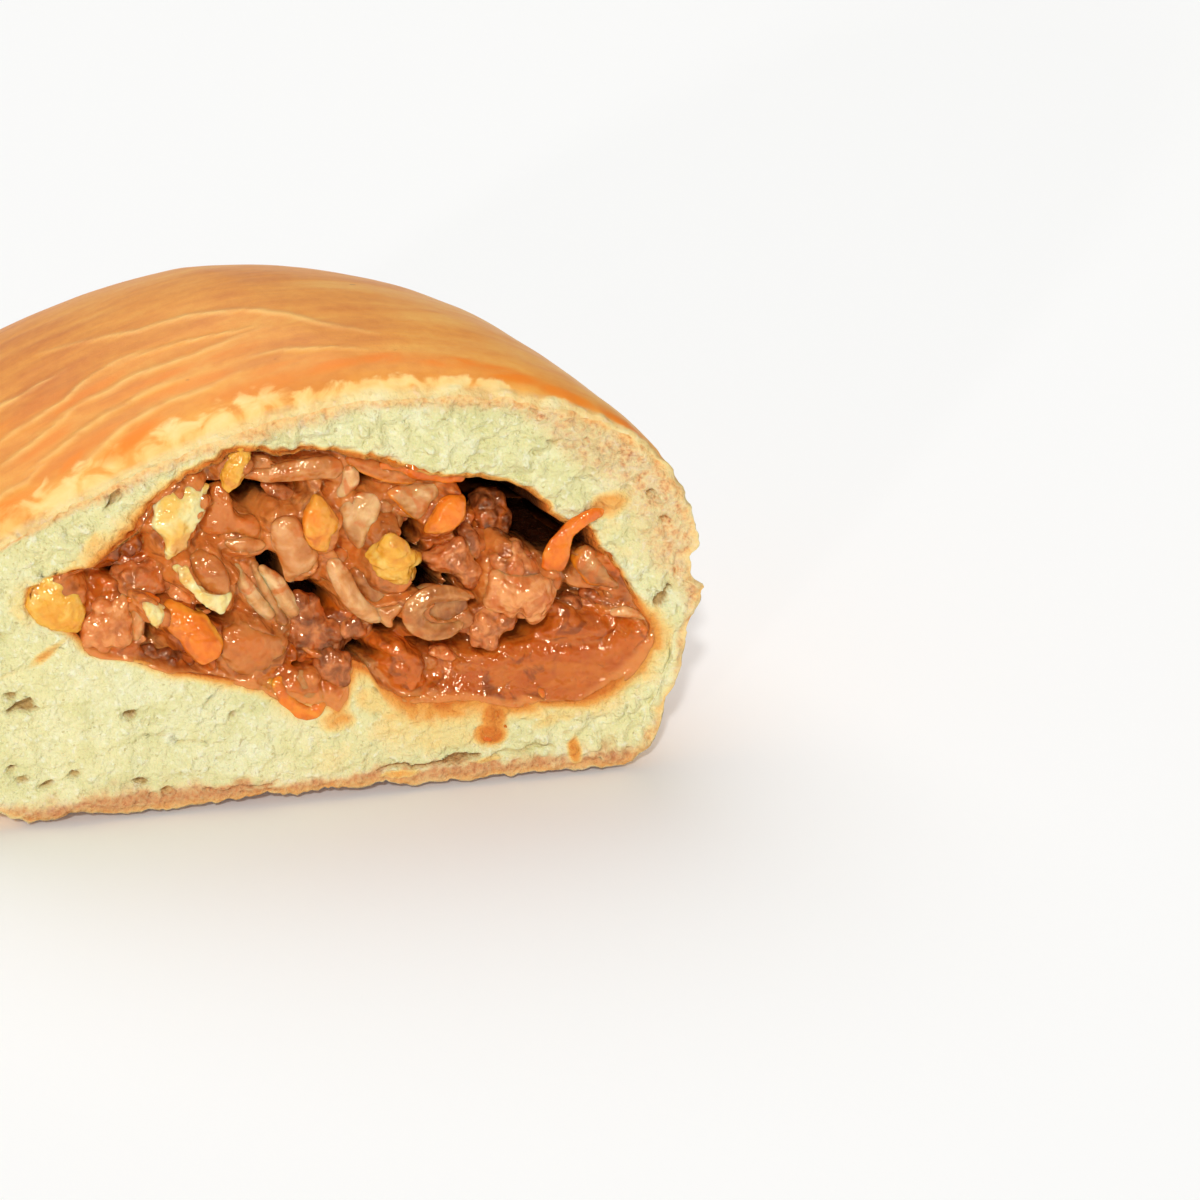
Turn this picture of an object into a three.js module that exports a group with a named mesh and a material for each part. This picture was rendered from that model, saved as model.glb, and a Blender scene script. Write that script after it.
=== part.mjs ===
// One half of a baked beef empanada, cut across its middle.
//
// Millimetres, +Z up. The half rests on its flat underside, the cut face looks along -Y, and the
// body runs back along +Y to a rounded end. The origin is on the underside, below the middle of
// the body. The blunt side at +X is where the dough was folded over, and the longer slope at -X
// is where its two edges were pressed together.
//
// Two solids: the dough, which is a thick shell open at the cut, and the beef filling inside it,
// which settled while it cooled and left an air pocket under the crust on the fold side.
import * as THREE from "three";

// The whole half
const LENGTH = 59; // from the cut to the far end
const CUT_Y = -29; // the plane of the cut
const FOLD_REACH = 30; // from the keel line to the blunt side, at the cut
const SEAM_REACH = 43; // from the keel line to the pressed side, at the cut
const KEEL_X = 6.5; // the keel line, above which the crown is highest
const EQUATOR = 18; // height of the widest line
const CROWN = 21.2; // from the widest line up to the crown
const BELLY = 23; // from the widest line down, before the underside is flattened on the tray
const FAR_EQUATOR = 13.5; // height of the widest line at the far end
const CROWN_SWELL = 0.11; // how much higher the crown stands half way back, as a share
const LEAN = -20; // how far the body runs sideways on its way back
const LEAN_BACK = 4.5; // and how much of that it takes back towards the end
const FOLD_ROUND = { top: 2.5, bottom: 2.7 }; // superellipse powers of the blunt side
const SEAM_ROUND = { top: 1.42, bottom: 2.5 }; // and of the pressed side
const END_ROUND = { crown: 3, fold: 3.3, seam: 2.8 }; // how full the body stays towards its end

// The crust where the knife went through: it was pushed down and rounded over
const KNIFE_RUN = 5.5;
const KNIFE_SINK = 1.6;

// The joint where the two edges of dough were pressed together, a shallow groove low on the -X side
const JOINT_HEIGHT = 10;
const JOINT_DEPTH = 1.1;
const JOINT_WIDTH = 2.4;

// The hollow that holds the filling, as spokes from its middle, one every 15 degrees from +X
// over +Z. It is nearest to the crust at the top and leaves the thickest dough on the -X side.
const HOLLOW_MIDDLE = { x: 3.5, z: 20.5 };
const HOLLOW_SPOKES = [
  24.5, 20.8, 17.4, 14, 12.6, 12.6, 12.9, 13.5, 15.1, 17.2, 19.5, 22.4,
  25.6, 19.3, 14.8, 12.6, 11, 10.4, 10.6, 11.4, 13.6, 18.6, 25.2, 27.6,
];
const HOLLOW_DEPTH = 46;
const HOLLOW_ROUND = 2.6;

// The filling
const CLEARANCE = 0.35; // between the filling and the dough
const FILLING_BULGE = 1.2; // how far the filling stands out of the cut in the middle
const LUMP_HEIGHT = 1.1; // relief of the cut filling

// The air pocket over it. Its ends are in degrees round the hollow's middle, and it is highest
// at PEAK, a share of the way from one end to the other.
const POCKET_FROM = -2;
const POCKET_TO = 42;
const POCKET_PEAK = 0.3;
const POCKET_HEIGHT = 6.2;
const POCKET_DEPTH = 24;

// The cut dough is torn rather than flat
const TEAR_RELIEF = 0.35;

// Fineness of the faceted surfaces
const AROUND = 72;
const KNIFE_RINGS = [0, 0.09, 0.25, 0.52, 1]; // shares of KNIFE_RUN
const BODY_STEPS = 20;
const FACE_STEPS = 3;
const HOLLOW_STEPS = 11;
const FILLING_FACE_STEPS = 14;

const power = (value, exponent) => Math.sign(value) * Math.abs(value) ** exponent;
const clamp01 = (value) => Math.min(1, Math.max(0, value));
const smooth = (value) => clamp01(value) ** 2 * (3 - 2 * clamp01(value));

// How far the body has moved sideways at a share of its length, 0 at the cut and 1 at the end.
const lean = (share) => LEAN * share + LEAN_BACK * share ** 2;

// Superellipse profile of a rounded end: 1 at the cut, 0 at the end.
const endProfile = (share, round) => (1 - clamp01(share) ** round) ** (1 / round);

// How far the crust is drawn in near the cut, at a distance behind it.
function knifeInset(behind) {
  const left = clamp01((KNIFE_RUN - behind) / KNIFE_RUN);
  return KNIFE_SINK * (1 - Math.sqrt(1 - left ** 2));
}

// A point on the outside of the body. The angle goes round the section from +X over +Z, and the
// share is how far back the section is.
function bodyPoint(angle, share) {
  const across = Math.cos(angle);
  const upward = Math.sin(angle);
  const side = across >= 0 ? FOLD_ROUND : SEAM_ROUND;
  const round = upward >= 0 ? side.top : side.bottom;
  const reach = across >= 0 ? FOLD_REACH : SEAM_REACH;
  const rise = upward >= 0 ? CROWN : BELLY;
  const crown = endProfile(share, END_ROUND.crown);
  const flank = endProfile(share, across >= 0 ? END_ROUND.fold : END_ROUND.seam);
  const swell = upward >= 0 ? 1 + CROWN_SWELL * Math.sin(Math.PI * share ** 0.8) : 1;

  let x = reach * power(across, 2 / round) * flank;
  let z = FAR_EQUATOR + (EQUATOR - FAR_EQUATOR) * crown;
  z += rise * power(upward, 2 / round) * crown * swell;

  // The joint is a groove at its own height, all round the -X side.
  const nearJoint = Math.exp(-(((z - JOINT_HEIGHT) / JOINT_WIDTH) ** 2));
  x += JOINT_DEPTH * nearJoint * smooth(-across * 2) * flank;

  const inset = knifeInset(share * LENGTH);
  x -= inset * 0.5 * across * clamp01(upward + 0.3);
  z -= inset * clamp01(upward);
  return new THREE.Vector3(KEEL_X + lean(share) + x, CUT_Y + share * LENGTH, Math.max(0, z));
}

// The length of the hollow's spoke at an angle: a Catmull-Rom curve through the spokes around it.
function hollowSpoke(angle) {
  const count = HOLLOW_SPOKES.length;
  const place = ((angle / (2 * Math.PI) + 1) % 1) * count;
  const index = Math.floor(place);
  const t = place - index;
  const [a, b, c, d] = [-1, 0, 1, 2].map((step) => HOLLOW_SPOKES[(index + step + count) % count]);
  return b + 0.5 * t * (c - a + t * (2 * a - 5 * b + 4 * c - d + t * (3 * (b - c) + d - a)));
}

// The angle at which a point is seen from the middle of the hollow.
const angleFromMiddle = (point) =>
  Math.atan2(point.z - HOLLOW_MIDDLE.z, point.x - HOLLOW_MIDDLE.x);

// The depth of the air pocket at an angle and a distance behind the cut.
function pocketDrop(angle, behind) {
  const share = (THREE.MathUtils.radToDeg(angle) - POCKET_FROM) / (POCKET_TO - POCKET_FROM);
  const across = smooth(share / POCKET_PEAK) * smooth((1 - share) / (1 - POCKET_PEAK));
  return POCKET_HEIGHT * across * smooth(1.5 * (1 - behind / POCKET_DEPTH));
}

// A point on the wall of the hollow, or inset from it and from its end, at an angle round its
// middle.
function hollowPoint(angle, behind, inset = 0, endInset = 0) {
  const share = behind / LENGTH;
  const narrowing = endProfile(behind / (HOLLOW_DEPTH - endInset), HOLLOW_ROUND);
  const radius = Math.max(0, hollowSpoke(angle) * narrowing - inset);
  return new THREE.Vector3(
    HOLLOW_MIDDLE.x + lean(share) + radius * Math.cos(angle),
    CUT_Y + behind,
    HOLLOW_MIDDLE.z - (EQUATOR - FAR_EQUATOR) * (1 - narrowing) + radius * Math.sin(angle),
  );
}

// Shallow uneven relief on the torn dough of the cut.
const tearRelief = (point) =>
  TEAR_RELIEF * Math.sin(point.x * 0.55 + point.z * 0.31) * Math.cos(point.z * 0.62 - point.x * 0.2);

// Rounded lumps of meat and vegetables on the cut filling: crossing waves that wander.
const lumpRelief = (point) =>
  LUMP_HEIGHT *
  Math.sin(point.x * 0.52 + Math.sin(point.z * 0.4)) *
  Math.cos(point.z * 0.6 + Math.sin(point.x * 0.3));

// Joins rings of equally many points, with a single point at each end, into one closed surface.
function closedSurface(firstPole, rings, lastPole) {
  const points = [firstPole, ...rings.flat(), lastPole];
  const around = rings[0].length;
  const last = points.length - 1;
  const triangles = [];
  for (let i = 0; i < around; i++) {
    const next = (i + 1) % around;
    triangles.push(0, 1 + next, 1 + i);
    for (let ring = 0; ring < rings.length - 1; ring++) {
      const here = 1 + ring * around;
      const there = here + around;
      triangles.push(here + i, there + next, there + i);
      triangles.push(here + i, here + next, there + next);
    }
    const end = 1 + (rings.length - 1) * around;
    triangles.push(end + i, end + next, last);
  }
  const geometry = new THREE.BufferGeometry().setFromPoints(points);
  geometry.setIndex(triangles);
  geometry.computeVertexNormals();
  return geometry;
}

// Shares of a rounded end's depth, from 0 to just short of 1, closer together where it turns.
const roundedSteps = (steps) =>
  Array.from({ length: steps }, (_, i) => Math.sin((i / steps) * (Math.PI / 2)) ** 1.1);

// Shares of the body's length, from the cut, where the knife rounded it, to just short of the end.
function bodyShares() {
  const knife = KNIFE_RINGS.map((share) => (share * KNIFE_RUN) / LENGTH);
  const start = knife.at(-1);
  const rest = roundedSteps(BODY_STEPS).slice(1);
  return [...knife, ...rest.map((share) => start + (1 - start) * share)];
}

const AROUND_ANGLES = Array.from({ length: AROUND }, (_, i) => (i / AROUND) * 2 * Math.PI);
const CUT_OUTLINE = AROUND_ANGLES.map((angle) => bodyPoint(angle, 0));
const HOLLOW_ANGLES = CUT_OUTLINE.map(angleFromMiddle);
const HOLLOW_SHARES = roundedSteps(HOLLOW_STEPS);

function doughGeometry() {
  const outside = bodyShares()
    .reverse()
    .map((share) => AROUND_ANGLES.map((angle) => bodyPoint(angle, share)));
  const lip = HOLLOW_ANGLES.map((angle) => hollowPoint(angle, 0));
  const face = [];
  for (let step = 1; step <= FACE_STEPS; step++) {
    const share = step / (FACE_STEPS + 1);
    face.push(
      CUT_OUTLINE.map((outer, i) => {
        const point = outer.clone().lerp(lip[i], share);
        point.y += tearRelief(point) * Math.sin(Math.PI * share);
        return point;
      }),
    );
  }
  const wall = HOLLOW_SHARES.map((share) =>
    HOLLOW_ANGLES.map((angle) => hollowPoint(angle, share * HOLLOW_DEPTH)),
  );
  return closedSurface(bodyPoint(0, 1), [...outside, ...face, ...wall], hollowPoint(0, HOLLOW_DEPTH));
}

function fillingGeometry() {
  const depth = HOLLOW_DEPTH - CLEARANCE;
  const sidePoint = (angle, behind) =>
    hollowPoint(angle, behind, CLEARANCE + pocketDrop(angle, behind), CLEARANCE);
  const sides = HOLLOW_SHARES.map((share) =>
    HOLLOW_ANGLES.map((angle) => sidePoint(angle, share * depth)),
  );
  const middle = new THREE.Vector3(HOLLOW_MIDDLE.x, CUT_Y, HOLLOW_MIDDLE.z);
  const standOut = (point, share) => {
    const raised = point.clone();
    raised.y -= (FILLING_BULGE + lumpRelief(point)) * smooth(2.5 * (1 - share));
    return raised;
  };
  const front = [];
  for (let step = FILLING_FACE_STEPS - 1; step > 0; step--) {
    const share = step / FILLING_FACE_STEPS;
    front.push(sides[0].map((point) => standOut(middle.clone().lerp(point, share), share)));
  }
  return closedSurface(sidePoint(0, depth), [...sides.reverse(), ...front], standOut(middle, 0));
}

const half = new THREE.Group();

const dough = new THREE.Mesh(
  doughGeometry(),
  new THREE.MeshStandardMaterial({ color: 0xdf9a58, roughness: 0.45, metalness: 0 }),
);
dough.name = "dough";
half.add(dough);

const filling = new THREE.Mesh(
  fillingGeometry(),
  new THREE.MeshStandardMaterial({ color: 0xb5672f, roughness: 0.25, metalness: 0 }),
);
filling.name = "filling";
half.add(filling);

export default half;
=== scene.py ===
"""The looks of one half of a baked beef empanada, resting on its underside with its cut towards -Y.

Shapes are worked out in millimetres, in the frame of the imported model, and turned into metres when
they are put into a mesh. "Behind" is always a distance from the plane of the cut into the half.
"""

import bpy
import numpy as np
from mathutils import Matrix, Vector


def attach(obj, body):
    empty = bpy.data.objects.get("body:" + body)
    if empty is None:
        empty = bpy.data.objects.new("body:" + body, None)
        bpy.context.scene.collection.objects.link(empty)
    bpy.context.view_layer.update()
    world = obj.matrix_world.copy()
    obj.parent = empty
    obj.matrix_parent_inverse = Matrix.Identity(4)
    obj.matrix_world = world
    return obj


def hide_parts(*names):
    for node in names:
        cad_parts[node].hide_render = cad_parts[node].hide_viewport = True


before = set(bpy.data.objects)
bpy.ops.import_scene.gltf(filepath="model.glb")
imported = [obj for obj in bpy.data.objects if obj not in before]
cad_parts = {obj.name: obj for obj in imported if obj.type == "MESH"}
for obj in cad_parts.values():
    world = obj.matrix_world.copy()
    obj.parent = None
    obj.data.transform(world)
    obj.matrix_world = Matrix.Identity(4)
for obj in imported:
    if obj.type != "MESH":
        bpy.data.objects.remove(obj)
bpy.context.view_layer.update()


# --- Baked dough -------------------------------------------------------------------------------
# One soft shell of enriched dough, rolled thick, folded over the filling, brushed with egg and
# baked to a satin orange brown. The knife pushed the crust down at the cut and tore the crumb.

MM = 0.001
# Depth of the half, the plane of its cut, and the reach of its section to the folded side (+X) and
# to the side with the joint (-X) of the line where it is widest.
LENGTH, CUT_Y = 59.0, -29.0
FOLD_REACH, SEAM_REACH, KEEL_X = 30.0, 43.0, 6.5
# Height of the widest line at the cut and at the far end, heights of the parts above and below it,
# how much the crown swells behind the cut, and how far the far end leans to the side.
EQUATOR, FAR_EQUATOR, CROWN, BELLY, CROWN_SWELL = 18.0, 13.5, 21.2, 23.0, 0.11
LEAN, LEAN_BACK = -20.0, 4.5
# Superellipse powers of the section's quarters (above, below) and of the end.
FOLD_ROUND, SEAM_ROUND = (2.5, 2.7), (1.42, 2.5)
END_ROUND = {"crown": 3.0, "fold": 3.3, "seam": 2.8}
# The crust sunk by the knife, and the groove where the two edges of the dough were joined.
KNIFE_RUN, KNIFE_SINK = 5.5, 1.6
JOINT_HEIGHT, JOINT_DEPTH, JOINT_WIDTH = 10.0, 1.1, 2.4
# Middle, depth and end power of the hollow, and its radius at the cut at every 15 degrees.
HOLLOW_X, HOLLOW_Z, HOLLOW_DEPTH, HOLLOW_ROUND = 3.5, 20.5, 46.0, 2.6
HOLLOW_SPOKES = np.array([
    24.5, 20.8, 17.4, 14, 12.6, 12.6, 12.9, 13.5, 15.1, 17.2, 19.5, 22.4,
    25.6, 19.3, 14.8, 12.6, 11, 10.4, 10.6, 11.4, 13.6, 18.6, 25.2, 27.6,
])

# Points round the shell, its rows from the far end over the skin and the cut into the hollow, and
# how far behind the cut each finer zone of rows reaches.
COLUMNS = 600
END_ROWS, TOP_ROWS, KNIFE_ROWS, FACE_ROWS, LIP_ROWS, DEEP_ROWS = 18, 46, 20, 58, 12, 8
KNIFE_ZONE, TOP_ZONE, LIP_ZONE = 7.0, 28.0, 9.0


def smooth(value):
    """Cubic step of a value held between 0 and 1: 3 v^2 - 2 v^3."""
    value = np.clip(value, 0, 1)
    return value * value * (3 - 2 * value)


def lattice_noise(points, seed):
    """Value noise: a hashed random value from -1 to 1 at each corner of the unit cell that holds a
    point, blended by the cubic step along each axis."""
    cell = np.floor(points).astype(np.int64)
    part = points - cell
    part = part * part * (3 - 2 * part)
    total = np.zeros(points.shape[:-1])
    for corner in np.ndindex(2, 2, 2):
        i, j, k = (cell[..., axis] + corner[axis] for axis in range(3))
        mixed = (i * 73856093) ^ (j * 19349663) ^ (k * 83492791) ^ (seed * 2654435761)
        mixed = (mixed & 0xFFFFFFFF) * 0x9E3779B1 & 0xFFFFFFFF
        mixed = (mixed ^ (mixed >> 15)) * 0x85EBCA6B & 0xFFFFFFFF
        value = ((mixed ^ (mixed >> 13)) & 0xFFFFFF) / 0x7FFFFF - 1
        weight = np.ones(points.shape[:-1])
        for axis in range(3):
            weight = weight * (part[..., axis] if corner[axis] else 1 - part[..., axis])
        total += weight * value
    return total


def noise(points, size, seed, octaves=1):
    """Sum of value noises of a first cell size in millimetres, each half as large and half as
    strong as the one before."""
    points = np.asarray(points, float)
    total = sum(lattice_noise(points * (2**n / size), seed + n) / 2**n for n in range(octaves))
    return total / (2 - 2.0 ** (1 - octaves))


def puffs(points, size, seed):
    """Soft lumps with sharp valleys between them: the absolute value of noise, about zero."""
    return np.abs(noise(points, size, seed)) * 2 - 0.55


def bell(value, power=2):
    """Bell curve: e to the minus of a value's power, 1 at 0 and next to nothing past 2."""
    return np.exp(-(value**power))


def catmull_rom(a, b, c, d, t):
    """The point at a share t from b to c on the cubic curve whose slopes there are (c - a) / 2 and
    (d - b) / 2."""
    return b + 0.5 * t * (c - a + t * (2 * a - 5 * b + 4 * c - d + t * (3 * (b - c) + d - a)))


def running_length(points):
    """Length along a line of points, from 0 at the first of them."""
    return np.concatenate([[0], np.cumsum(np.linalg.norm(np.diff(points, axis=0), axis=1))])


def end_profile(share, power):
    """Superellipse of a rounded end: 1 at the cut, 0 at the end."""
    return (1 - np.clip(share, 0, 1) ** power) ** (1 / power)


def lean(share):
    """Sideways run of the body at a share of its length: a parabola."""
    return LEAN * share + LEAN_BACK * share**2


def body(angle, share):
    """Outside of the body: superellipse sections with their own powers in each quarter, shrunk
    towards the end by superellipse profiles, leaning sideways, flat below, with the joint's groove
    and with the crust drawn in along a quarter ellipse where the knife sank it."""
    across, upward = np.cos(angle), np.sin(angle)
    fold, top = across >= 0, upward >= 0
    power = np.where(fold, np.where(top, *FOLD_ROUND), np.where(top, *SEAM_ROUND))
    crown = end_profile(share, END_ROUND["crown"])
    flank = np.where(fold, end_profile(share, END_ROUND["fold"]), end_profile(share, END_ROUND["seam"]))
    swell = np.where(top, 1 + CROWN_SWELL * np.sin(np.pi * share**0.8), 1)
    x = np.where(fold, FOLD_REACH, SEAM_REACH) * np.sign(across) * np.abs(across) ** (2 / power) * flank
    z = FAR_EQUATOR + (EQUATOR - FAR_EQUATOR) * crown
    z = z + np.where(top, CROWN, BELLY) * np.sign(upward) * np.abs(upward) ** (2 / power) * crown * swell
    near_joint = bell((z - JOINT_HEIGHT) / JOINT_WIDTH)
    x = x + JOINT_DEPTH * near_joint * smooth(-across * 2) * flank
    left = np.clip((KNIFE_RUN - share * LENGTH) / KNIFE_RUN, 0, 1)
    inset = KNIFE_SINK * (1 - np.sqrt(1 - left**2))
    x = x - inset * 0.5 * across * np.clip(upward + 0.3, 0, 1)
    z = z - inset * np.clip(upward, 0, 1)
    y = CUT_Y + share * LENGTH
    return np.stack(np.broadcast_arrays(KEEL_X + lean(share) + x, y, np.maximum(z, 0)), -1)


def hollow_spoke(angle):
    """Length of the hollow's spoke at an angle: a Catmull-Rom curve through its spokes."""
    count = len(HOLLOW_SPOKES)
    place = (angle / (2 * np.pi)) % 1 * count
    index = np.floor(place).astype(int)
    t = place - index
    return catmull_rom(*(HOLLOW_SPOKES[(index + step) % count] for step in (-1, 0, 1, 2)), t)


def hollow(angle, behind, radius):
    """A point inside the half, at an angle and a radius from the line through the middle of the
    hollow, which leans and sinks with the body."""
    narrowing = end_profile(behind / HOLLOW_DEPTH, HOLLOW_ROUND)
    x = HOLLOW_X + lean(behind / LENGTH) + radius * np.cos(angle)
    z = HOLLOW_Z - (EQUATOR - FAR_EQUATOR) * (1 - narrowing) + radius * np.sin(angle)
    return np.stack(np.broadcast_arrays(x, CUT_Y + behind, z), -1)


def even_angles(count):
    """Section angles that share the outline of the cut into equal lengths: the running length of
    the outline, read backwards."""
    fine = np.linspace(0, 2 * np.pi, 6001)
    run = running_length(body(fine, 0.0))
    return np.interp(np.arange(count) / count * run[-1], run, fine)


def rounded_steps(count):
    """Shares of a rounded end's depth, from 0 to just short of 1, closer where it turns."""
    return np.sin(np.arange(count) / count * np.pi / 2) ** 1.1


# The torn edge of the hollow: degrees round it, and how many millimetres it stands outside the
# spokes there.
LIP_SHIFTS = np.array([
    (-177, 0.4), (-174.7, -0.5), (-171.9, 0.2), (-168.3, 1.2), (-166.4, 0.9), (-164, 0.0),
    (-150, -0.1), (-138, -0.6), (-126, -0.3), (-118, 0.4), (-104, 0.3), (-97, 0.5), (-92, 0.7),
    (-88, -0.6), (-85.5, -2.4), (-82, -3.5), (-75, -3.3), (-71.5, -1.2), (-64.7, -0.3), (-56, -0.7),
    (-46, -1.9), (-41, -0.8), (-38.5, -0.6), (-36.5, -1.4), (-35, -0.3), (-32, 0.7), (-24, 1.0),
    (-12.5, 1.0), (-9, 0.3), (0, 0.2), (3.8, -0.5), (7.4, 0.2), (10, 0.4), (12, -1.0), (15.6, -1.1),
    (18, -0.3), (28, -0.2), (48, -0.5), (71, -0.5), (87, -0.3), (100, -0.2), (111, -0.7), (118, 0.3),
    (125, 0.3), (129, -0.5), (139, -0.5), (143, -0.8), (147, -1.2), (152, -1.8), (159, -2.8),
    (166, -2.6), (170, -2.4), (173, -0.4), (175.5, 1.2), (179, 1.0),
]).T


def ragged_lip(angle):
    """Radius of the torn edge of the hollow: its spoke, its shift and two sizes of raggedness."""
    place = np.stack([np.cos(angle) * 20, np.sin(angle) * 20, 0 * angle], -1)
    shift = np.interp(np.degrees(angle), *LIP_SHIFTS, period=360)
    return hollow_spoke(angle) + shift + 0.15 * noise(place, 3.2, 11) + 0.22 * noise(place, 1.1, 12, 2)


def segment_distance(x, z, path):
    """Distance in the plane of the cut to a path of straight stretches, and the share of the path
    at the nearest point."""
    best, place = np.full(x.shape, np.inf), np.zeros(x.shape)
    for n, ((ax, az), (bx, bz)) in enumerate(zip(path[:-1], path[1:])):
        t = ((x - ax) * (bx - ax) + (z - az) * (bz - az)) / ((bx - ax) ** 2 + (bz - az) ** 2)
        t = np.clip(t, 0, 1)
        away = np.hypot(x - ax - t * (bx - ax), z - az - t * (bz - az))
        place = np.where(away < best, (n + t) / (len(path) - 1), place)
        best = np.minimum(away, best)
    return best, place


def spot(x, z, spots):
    """The strongest of soft oval spots in the plane of the cut, each given by its place, half
    sizes, tilt in degrees and strength."""
    strongest = np.zeros(x.shape)
    for sx, sz, half_width, half_height, tilt, strength in spots:
        turned = np.radians(tilt)
        along = (x - sx) * np.cos(turned) + (z - sz) * np.sin(turned)
        above = (z - sz) * np.cos(turned) - (x - sx) * np.sin(turned)
        away = np.hypot(along / half_width, above / half_height)
        strongest = np.maximum(strongest, strength * smooth(1.5 - away))
    return strongest


def hump(x, place, half, power=2):
    """A hump of height 1 at a place, with a half width: a bell curve."""
    return bell((x - place) / half, power)


def low_side(z):
    """1 along the lower lip of the hollow, 0 from a little below its middle upwards."""
    return smooth((HOLLOW_Z - 2.5 - z) / 3)


def surface_normals(grid):
    """Unit normals of a grid of rings: the cross product of the steps along it and around it."""
    along = np.gradient(grid, axis=-3)
    around = np.roll(grid, -1, axis=-2) - np.roll(grid, 1, axis=-2)
    normal = np.cross(around, along)
    return normal / np.maximum(np.linalg.norm(normal, axis=-1, keepdims=True), 1e-9)


def ringed_mesh(name, first, rings, last, fields=None):
    """Closed surfaces of rings with a pole at each end, joined in one mesh. rings is an array of
    surfaces x rings x points x 3, first and last are surfaces x 3, and fields are attributes in
    the order of the points: first pole, rings, last pole."""
    surfaces, count, around = rings.shape[:3]
    points = np.concatenate([first[:, None], rings.reshape(surfaces, -1, 3), last[:, None]], 1)
    per = count * around + 2
    i = np.arange(around)
    following = (i + 1) % around
    start = 1 + np.arange(count - 1)[:, None] * around
    here, there = start + i, start + around + i
    quads = np.stack([here, start + following, start + around + following, there], -1).reshape(-1, 4)
    end = 1 + (count - 1) * around
    fans = np.concatenate([
        np.stack([np.zeros_like(i), 1 + following, 1 + i], -1),
        np.stack([end + i, end + following, np.full_like(i, per - 1)], -1),
    ])
    offset = (np.arange(surfaces) * per)[:, None, None]
    corners = np.concatenate([(quads + offset).ravel(), (fans + offset).ravel()])
    sizes = np.repeat([4, 3], [surfaces * len(quads), surfaces * len(fans)])
    mesh = bpy.data.meshes.new(name)
    mesh.vertices.add(surfaces * per)
    mesh.vertices.foreach_set("co", (points * MM).ravel())
    mesh.loops.add(len(corners))
    mesh.loops.foreach_set("vertex_index", corners)
    mesh.polygons.add(len(sizes))
    mesh.polygons.foreach_set("loop_start", np.concatenate([[0], np.cumsum(sizes)[:-1]]))
    mesh.polygons.foreach_set("use_smooth", np.ones(len(sizes), bool))
    mesh.update(calc_edges=True)
    for field, values in (fields or {}).items():
        attribute = mesh.attributes.new(field, "FLOAT", "POINT")
        attribute.data.foreach_set("value", np.asarray(values, np.float32).ravel())
    piece = bpy.data.objects.new(name, mesh)
    bpy.context.scene.collection.objects.link(piece)
    return piece


# Holes in the crumb: across, up, half width, half height and depth.
CRUMB_HOLES = [
    (-24.6, 11.8, 0.9, 0.5, 1.5), (-25.4, 12.9, 0.4, 0.5, 0.8), (-15.3, 10.3, 0.7, 0.5, 1.3),
    (-25.9, 5.4, 0.5, 0.4, 1.1), (-24.8, 4.3, 0.45, 0.3, 0.8), (-23.1, 3.9, 0.6, 0.3, 1.1),
    (-20.4, 4.6, 0.55, 0.35, 0.9), (-14.8, 3.1, 0.6, 0.3, 1.1), (-12.2, 2.0, 0.6, 0.3, 1.0),
    (-31.0, 8.0, 0.8, 0.5, 1.3), (31.5, 26.7, 0.4, 0.26, 0.8), (32.9, 24.2, 0.42, 0.28, 0.8),
    (32.4, 16.9, 0.8, 0.75, 1.3), (33.2, 17.6, 0.6, 0.35, 0.8), (-8.1, 10.6, 0.3, 0.2, 0.5),
    (-6.3, 9.1, 0.3, 0.4, 0.6), (-37.0, 6.0, 0.6, 0.4, 1.0), (28.6, 30.7, 0.3, 0.2, 0.5),
]
# Tears: a path on the cut, its half width and its depth.
CRUMB_TEARS = [
    ([(-16.2, 29.6), (-15.2, 31.0)], 0.3, 0.8),
    ([(-12.4, 32.9), (-10.6, 34.2), (-9.1, 35.1), (-6.9, 36.0)], 0.22, 0.5),
    ([(-5.6, 35.6), (-3.3, 36.3), (-0.9, 37.0)], 0.26, 0.5),
    ([(0.6, 37.4), (3.0, 37.8), (5.8, 38.0)], 0.18, 0.35),
    ([(6.0, 1.7), (8.2, 2.3), (9.4, 2.1)], 0.22, 1.0),
    ([(9.6, 2.0), (11.5, 2.2), (13.4, 2.5), (16.0, 2.8)], 0.3, 1.6),
    ([(-9.5, 1.9), (-6.0, 1.5), (-2.5, 1.9)], 0.18, 0.5),
    ([(17.0, 2.6), (19.5, 3.0), (22.5, 2.7)], 0.2, 0.5),
    ([(-20.9, 17.0), (-22.6, 15.8), (-24.6, 14.9), (-28.5, 13.4), (-33.0, 12.6)], 0.4, 0.22),
    ([(-14.6, 7.6), (-12.2, 7.3), (-11.2, 6.7), (-9.6, 6.9), (-8.4, 6.3)], 0.2, 0.4),
    ([(-9.0, 12.5), (-7.6, 11.4), (-8.8, 9.8)], 0.25, 0.35),
    ([(14.6, 31.0), (16.4, 32.0), (18.0, 33.6), (19.5, 33.0), (21.6, 33.0)], 0.3, 0.28),
    ([(22.0, 32.6), (24.2, 32.2), (26.0, 32.4)], 0.3, 0.4),
    ([(24.0, 28.8), (26.0, 28.4), (27.6, 27.4)], 0.14, 0.35),
    ([(27.4, 6.6), (30.0, 7.6), (32.4, 9.4)], 0.5, 0.16),
    ([(25.6, 4.6), (29.4, 5.2), (32.0, 6.8)], 0.5, 0.16),
]
BASE_CRUST = 2.2
# The outline of the cut on the folded side: a notch, a torn tip under it and a shallow dent, each
# by its height, how far it goes in or out, and its half height.
NOTCH_HEIGHT, NOTCH_DEPTH, NOTCH_HALF = 19.4, 0.9, 1.5
TIP_HEIGHT, TIP_REACH, TIP_HALF = 17.6, 0.55, 0.5
DENT_HEIGHT, DENT_DEPTH, DENT_HALF = 9.0, 1.5, 6.0
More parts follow.
